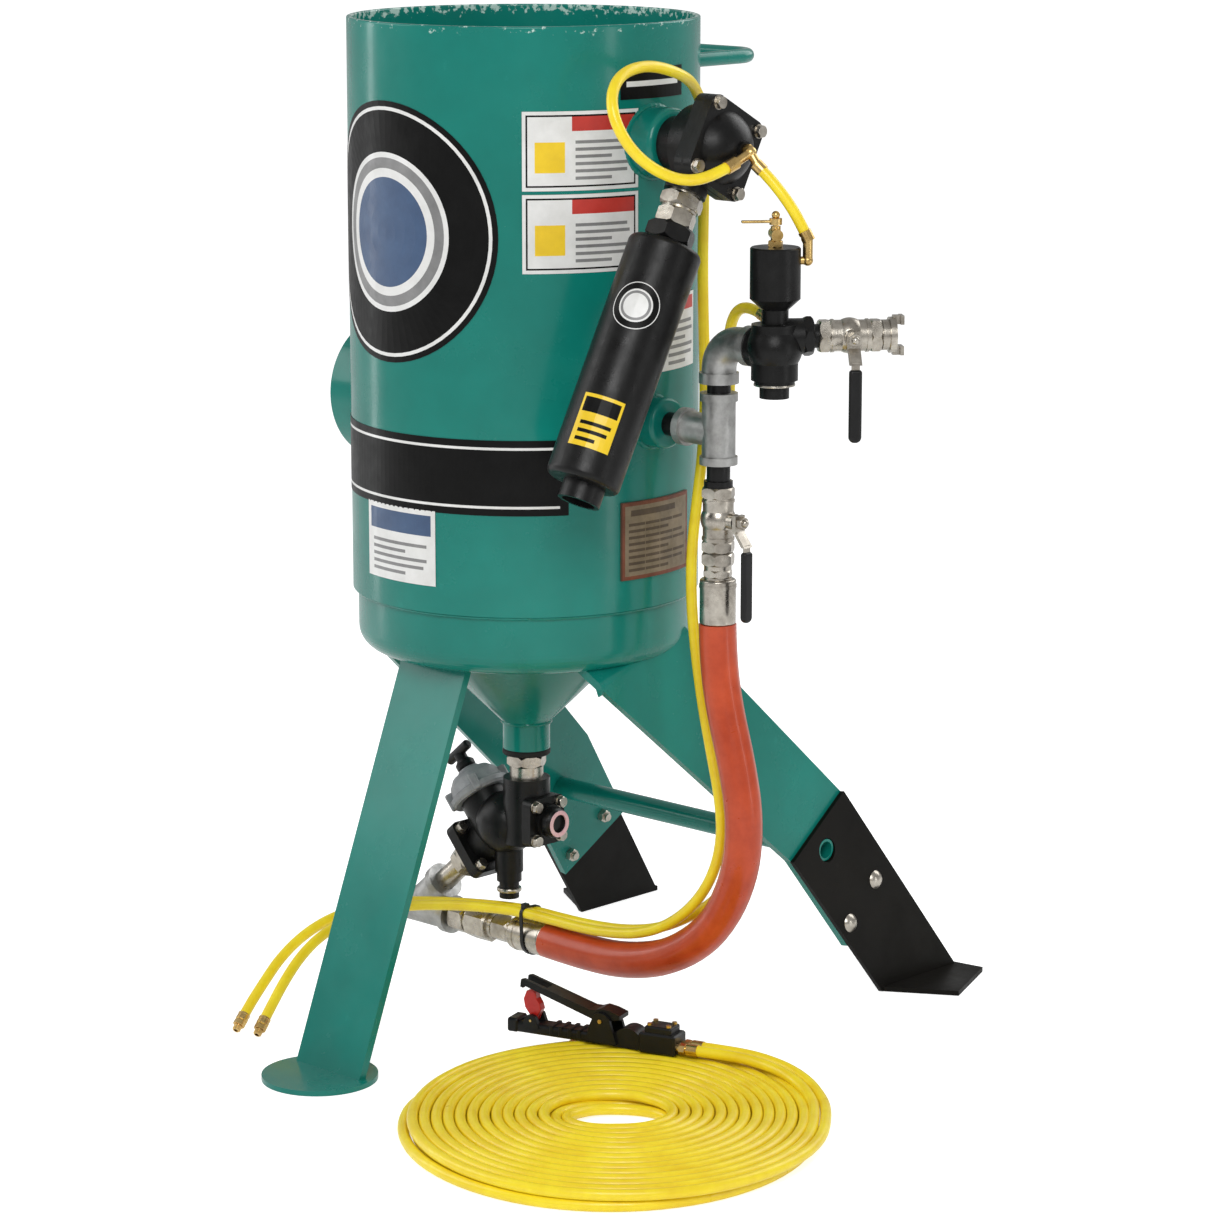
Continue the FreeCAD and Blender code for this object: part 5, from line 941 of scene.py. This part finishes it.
# Name, height, radius and side of the vessel.
BOSS_WELDS = (("outlet_boss_weld", 1.062, 0.0405, 1),
              ("inlet_boss_weld", 0.745, 0.0295, 1),
              ("handway_weld", 0.738, 0.0845, -1))
# Name, height, radius and bead radius.
RING_WELDS = (("seam_weld", 0.5286, 0.1985, 0.0028),
              ("neck_weld", 0.3628, 0.0287, 0.0024))

# The strap round the coupling and the pilot hoses: its place, and the pipes as (y, z, radius).
TIE_X = 0.012
TIE_PIPES = ((0, 0.098, 0.0208), (-0.0155, 0.1300, HOSE_D / 2), (0.0024, 0.1288, HOSE_D / 2))
TIE_CLEARANCE = 0.0002
TIE_OUTSIDE = 0.0016
TIE_WIDTH = 0.0048
TIE_POINTS = 90
TIE_HEAD = (0.007, 0.0075, 0.005)
TIE_HEAD_RISE = 0.0015
HULL_SIDES = 40

# Turned rings: name, section as (radius, length), place, axis, slot and material.
RING_SIDES = 40
TRIM_RINGS = (
    ("cap_ring", ((0.0108, 0.0), (0.0155, 0.0), (0.0160, 0.0008), (0.0155, 0.0016), (0.0113, 0.0016),
                  (0.0108, 0.0008)), (0.0536, 0, 0.245), (1, 0, 0), "red_plastic", "pink_ring"),
    ("plug_washer", ((0.0170, 0.0), (0.0229, 0.0), (0.0232, 0.0006), (0.0229, 0.0022), (0.0170, 0.0022)),
     (0.386, 0, 0.8057), (0, 0, 1), "nickel", "nickel"),
    ("plug_washer_2", ((0.0110, 0.0), (0.0143, 0.0), (0.0148, 0.0008), (0.0148, 0.0036), (0.0143, 0.0044),
                       (0.0110, 0.0044)), (-0.030, 0, 0.1470), (0, 0, 1), "nickel", "nickel"),
    ("neck_ring", ((0.0200, 0.0), (0.0272, 0.0), (0.0286, 0.0016), (0.0286, 0.0060), (0.0272, 0.0076),
                   (0.0200, 0.0076)), (0, 0, 0.3225), (0, 0, 1), "black_rubber", "black_rubber"))


def nearest_shift(here, there):
    """How many vertices one ring is turned against the next, whose frame may have turned."""
    def gap(shift):
        return sum((here[j].co - there[(j + shift) % BEAD_SIDES].co).length for j in range(BEAD_SIDES))

    return min(range(BEAD_SIDES), key=gap)


def weld_bead(name, path, radius):
    """A closed bead with the ripples of a weld run."""
    shape = bmesh.new()
    rings = []
    count = len(path)
    turns = [math.tau * k / BEAD_SIDES for k in range(BEAD_SIDES)]
    for i, point in enumerate(path):
        ahead = (path[(i + 1) % count] - path[i - 1]).normalized()
        side = ahead.orthogonal().normalized()
        up = ahead.cross(side)
        ripple = BEAD_RIPPLE * abs(math.sin(i * math.pi / RIPPLE_STEPS))
        swell = radius * (BEAD_LEAST + ripple + BEAD_CHANGE * math.sin(i * BEAD_CHANGE_RATE))
        rings.append([shape.verts.new(point + (side * math.cos(t) + up * math.sin(t)) * swell)
                      for t in turns])
    for here, there in zip(rings, rings[1:] + rings[:1]):
        shift = nearest_shift(here, there)
        for j in range(BEAD_SIDES):
            shape.faces.new((here[j], here[(j + 1) % BEAD_SIDES], there[(j + 1 + shift) % BEAD_SIDES],
                             there[(j + shift) % BEAD_SIDES]))
    finish_piece(bake(name, shape), "green_paint")


def boss_weld(name, height, radius, side):
    """Bead where a round boss along X meets the vessel."""
    path = []
    count = int(radius * math.tau / BOSS_STEP)
    for i in range(count):
        t = math.tau * i / count
        y = radius * math.cos(t)
        path.append(at(side * math.sqrt(SHELL_R ** 2 - y * y), y, height + radius * math.sin(t)))
    weld_bead(name, path, BOSS_BEAD)


def ring_weld(name, height, radius, bead):
    """Bead round the vessel's axis."""
    path = []
    count = int(radius * math.tau / RING_STEP)
    for i in range(count):
        t = math.tau * i / count
        path.append(at(radius * math.cos(t), radius * math.sin(t), height))
    weld_bead(name, path, bead)


def make_welds():
    for weld in BOSS_WELDS:
        boss_weld(*weld)
    for weld in RING_WELDS:
        ring_weld(*weld)


def hull_loop(circles, clearance):
    """Convex outline, in the YZ plane, around circles given as (y, z, radius)."""
    points = []
    for y, z, radius in circles:
        reach = radius + clearance
        for i in range(HULL_SIDES):
            angle = math.tau * i / HULL_SIDES
            points.append((y + reach * math.cos(angle), z + reach * math.sin(angle)))
    points = sorted(set(points))

    def half(ordered):
        kept = []
        for p in ordered:
            while len(kept) > 1 and ((kept[-1][0] - kept[-2][0]) * (p[1] - kept[-2][1])
                                     - (kept[-1][1] - kept[-2][1]) * (p[0] - kept[-2][0])) <= 0:
                kept.pop()
            kept.append(p)
        return kept[:-1]

    return half(points) + half(points[::-1])


def resample(loop, count):
    """Points evenly spaced along a closed outline, starting at its lowest corner."""
    start = min(range(len(loop)), key=lambda i: (loop[i][1], loop[i][0]))
    loop = [Vector(p) for p in loop[start:] + loop[:start]]
    lengths = [(loop[(i + 1) % len(loop)] - loop[i]).length for i in range(len(loop))]
    total = sum(lengths)
    points = []
    i = 0
    walked = 0.0
    for k in range(count):
        target = total * k / count
        while walked + lengths[i] < target:
            walked += lengths[i]
            i += 1
        share = (target - walked) / lengths[i]
        points.append(tuple(loop[i].lerp(loop[(i + 1) % len(loop)], share)))
    return points


def make_tie():
    """A flat plastic strap pulled round the pipes, with its square head."""
    inner = hull_loop(TIE_PIPES, TIE_CLEARANCE)
    outer = hull_loop(TIE_PIPES, TIE_OUTSIDE)
    shape = bmesh.new()
    rings = []
    for loop, shift in ((inner, -1), (inner, 1), (outer, 1), (outer, -1)):
        x = TIE_X + shift * TIE_WIDTH / 2
        rings.append([shape.verts.new(at(x, y, z)) for y, z in resample(loop, TIE_POINTS)])
    for here, there in zip(rings, rings[1:] + rings[:1]):
        for i in range(TIE_POINTS):
            j = (i + 1) % TIE_POINTS
            shape.faces.new((here[i], here[j], there[j], there[i]))
    top = max(outer, key=lambda p: p[1])
    head = bmesh.ops.create_cube(shape, size=1.0)["verts"]
    bmesh.ops.scale(shape, verts=head, vec=TIE_HEAD)
    bmesh.ops.translate(shape, verts=head, vec=at(TIE_X, top[0], top[1] + TIE_HEAD_RISE))
    finish_piece(bake("coupling_tie", shape, smooth=False), "black_plastic")


def make_trim():
    """Small rings: the metering valve's cap face, both clean-out plugs' washers and the neck's joint ring."""
    for name, section, spot, axis, slot_name, look in TRIM_RINGS:
        ring = lathe_mesh(name, section, RING_SIDES, ring=True)
        aim_piece(ring, at(*spot), axis)
        finish_piece(ring, slot_name, look)


make_stage()
paint_cad_nodes()
make_cords()
make_labels()
make_welds()
make_tie()
make_trim()
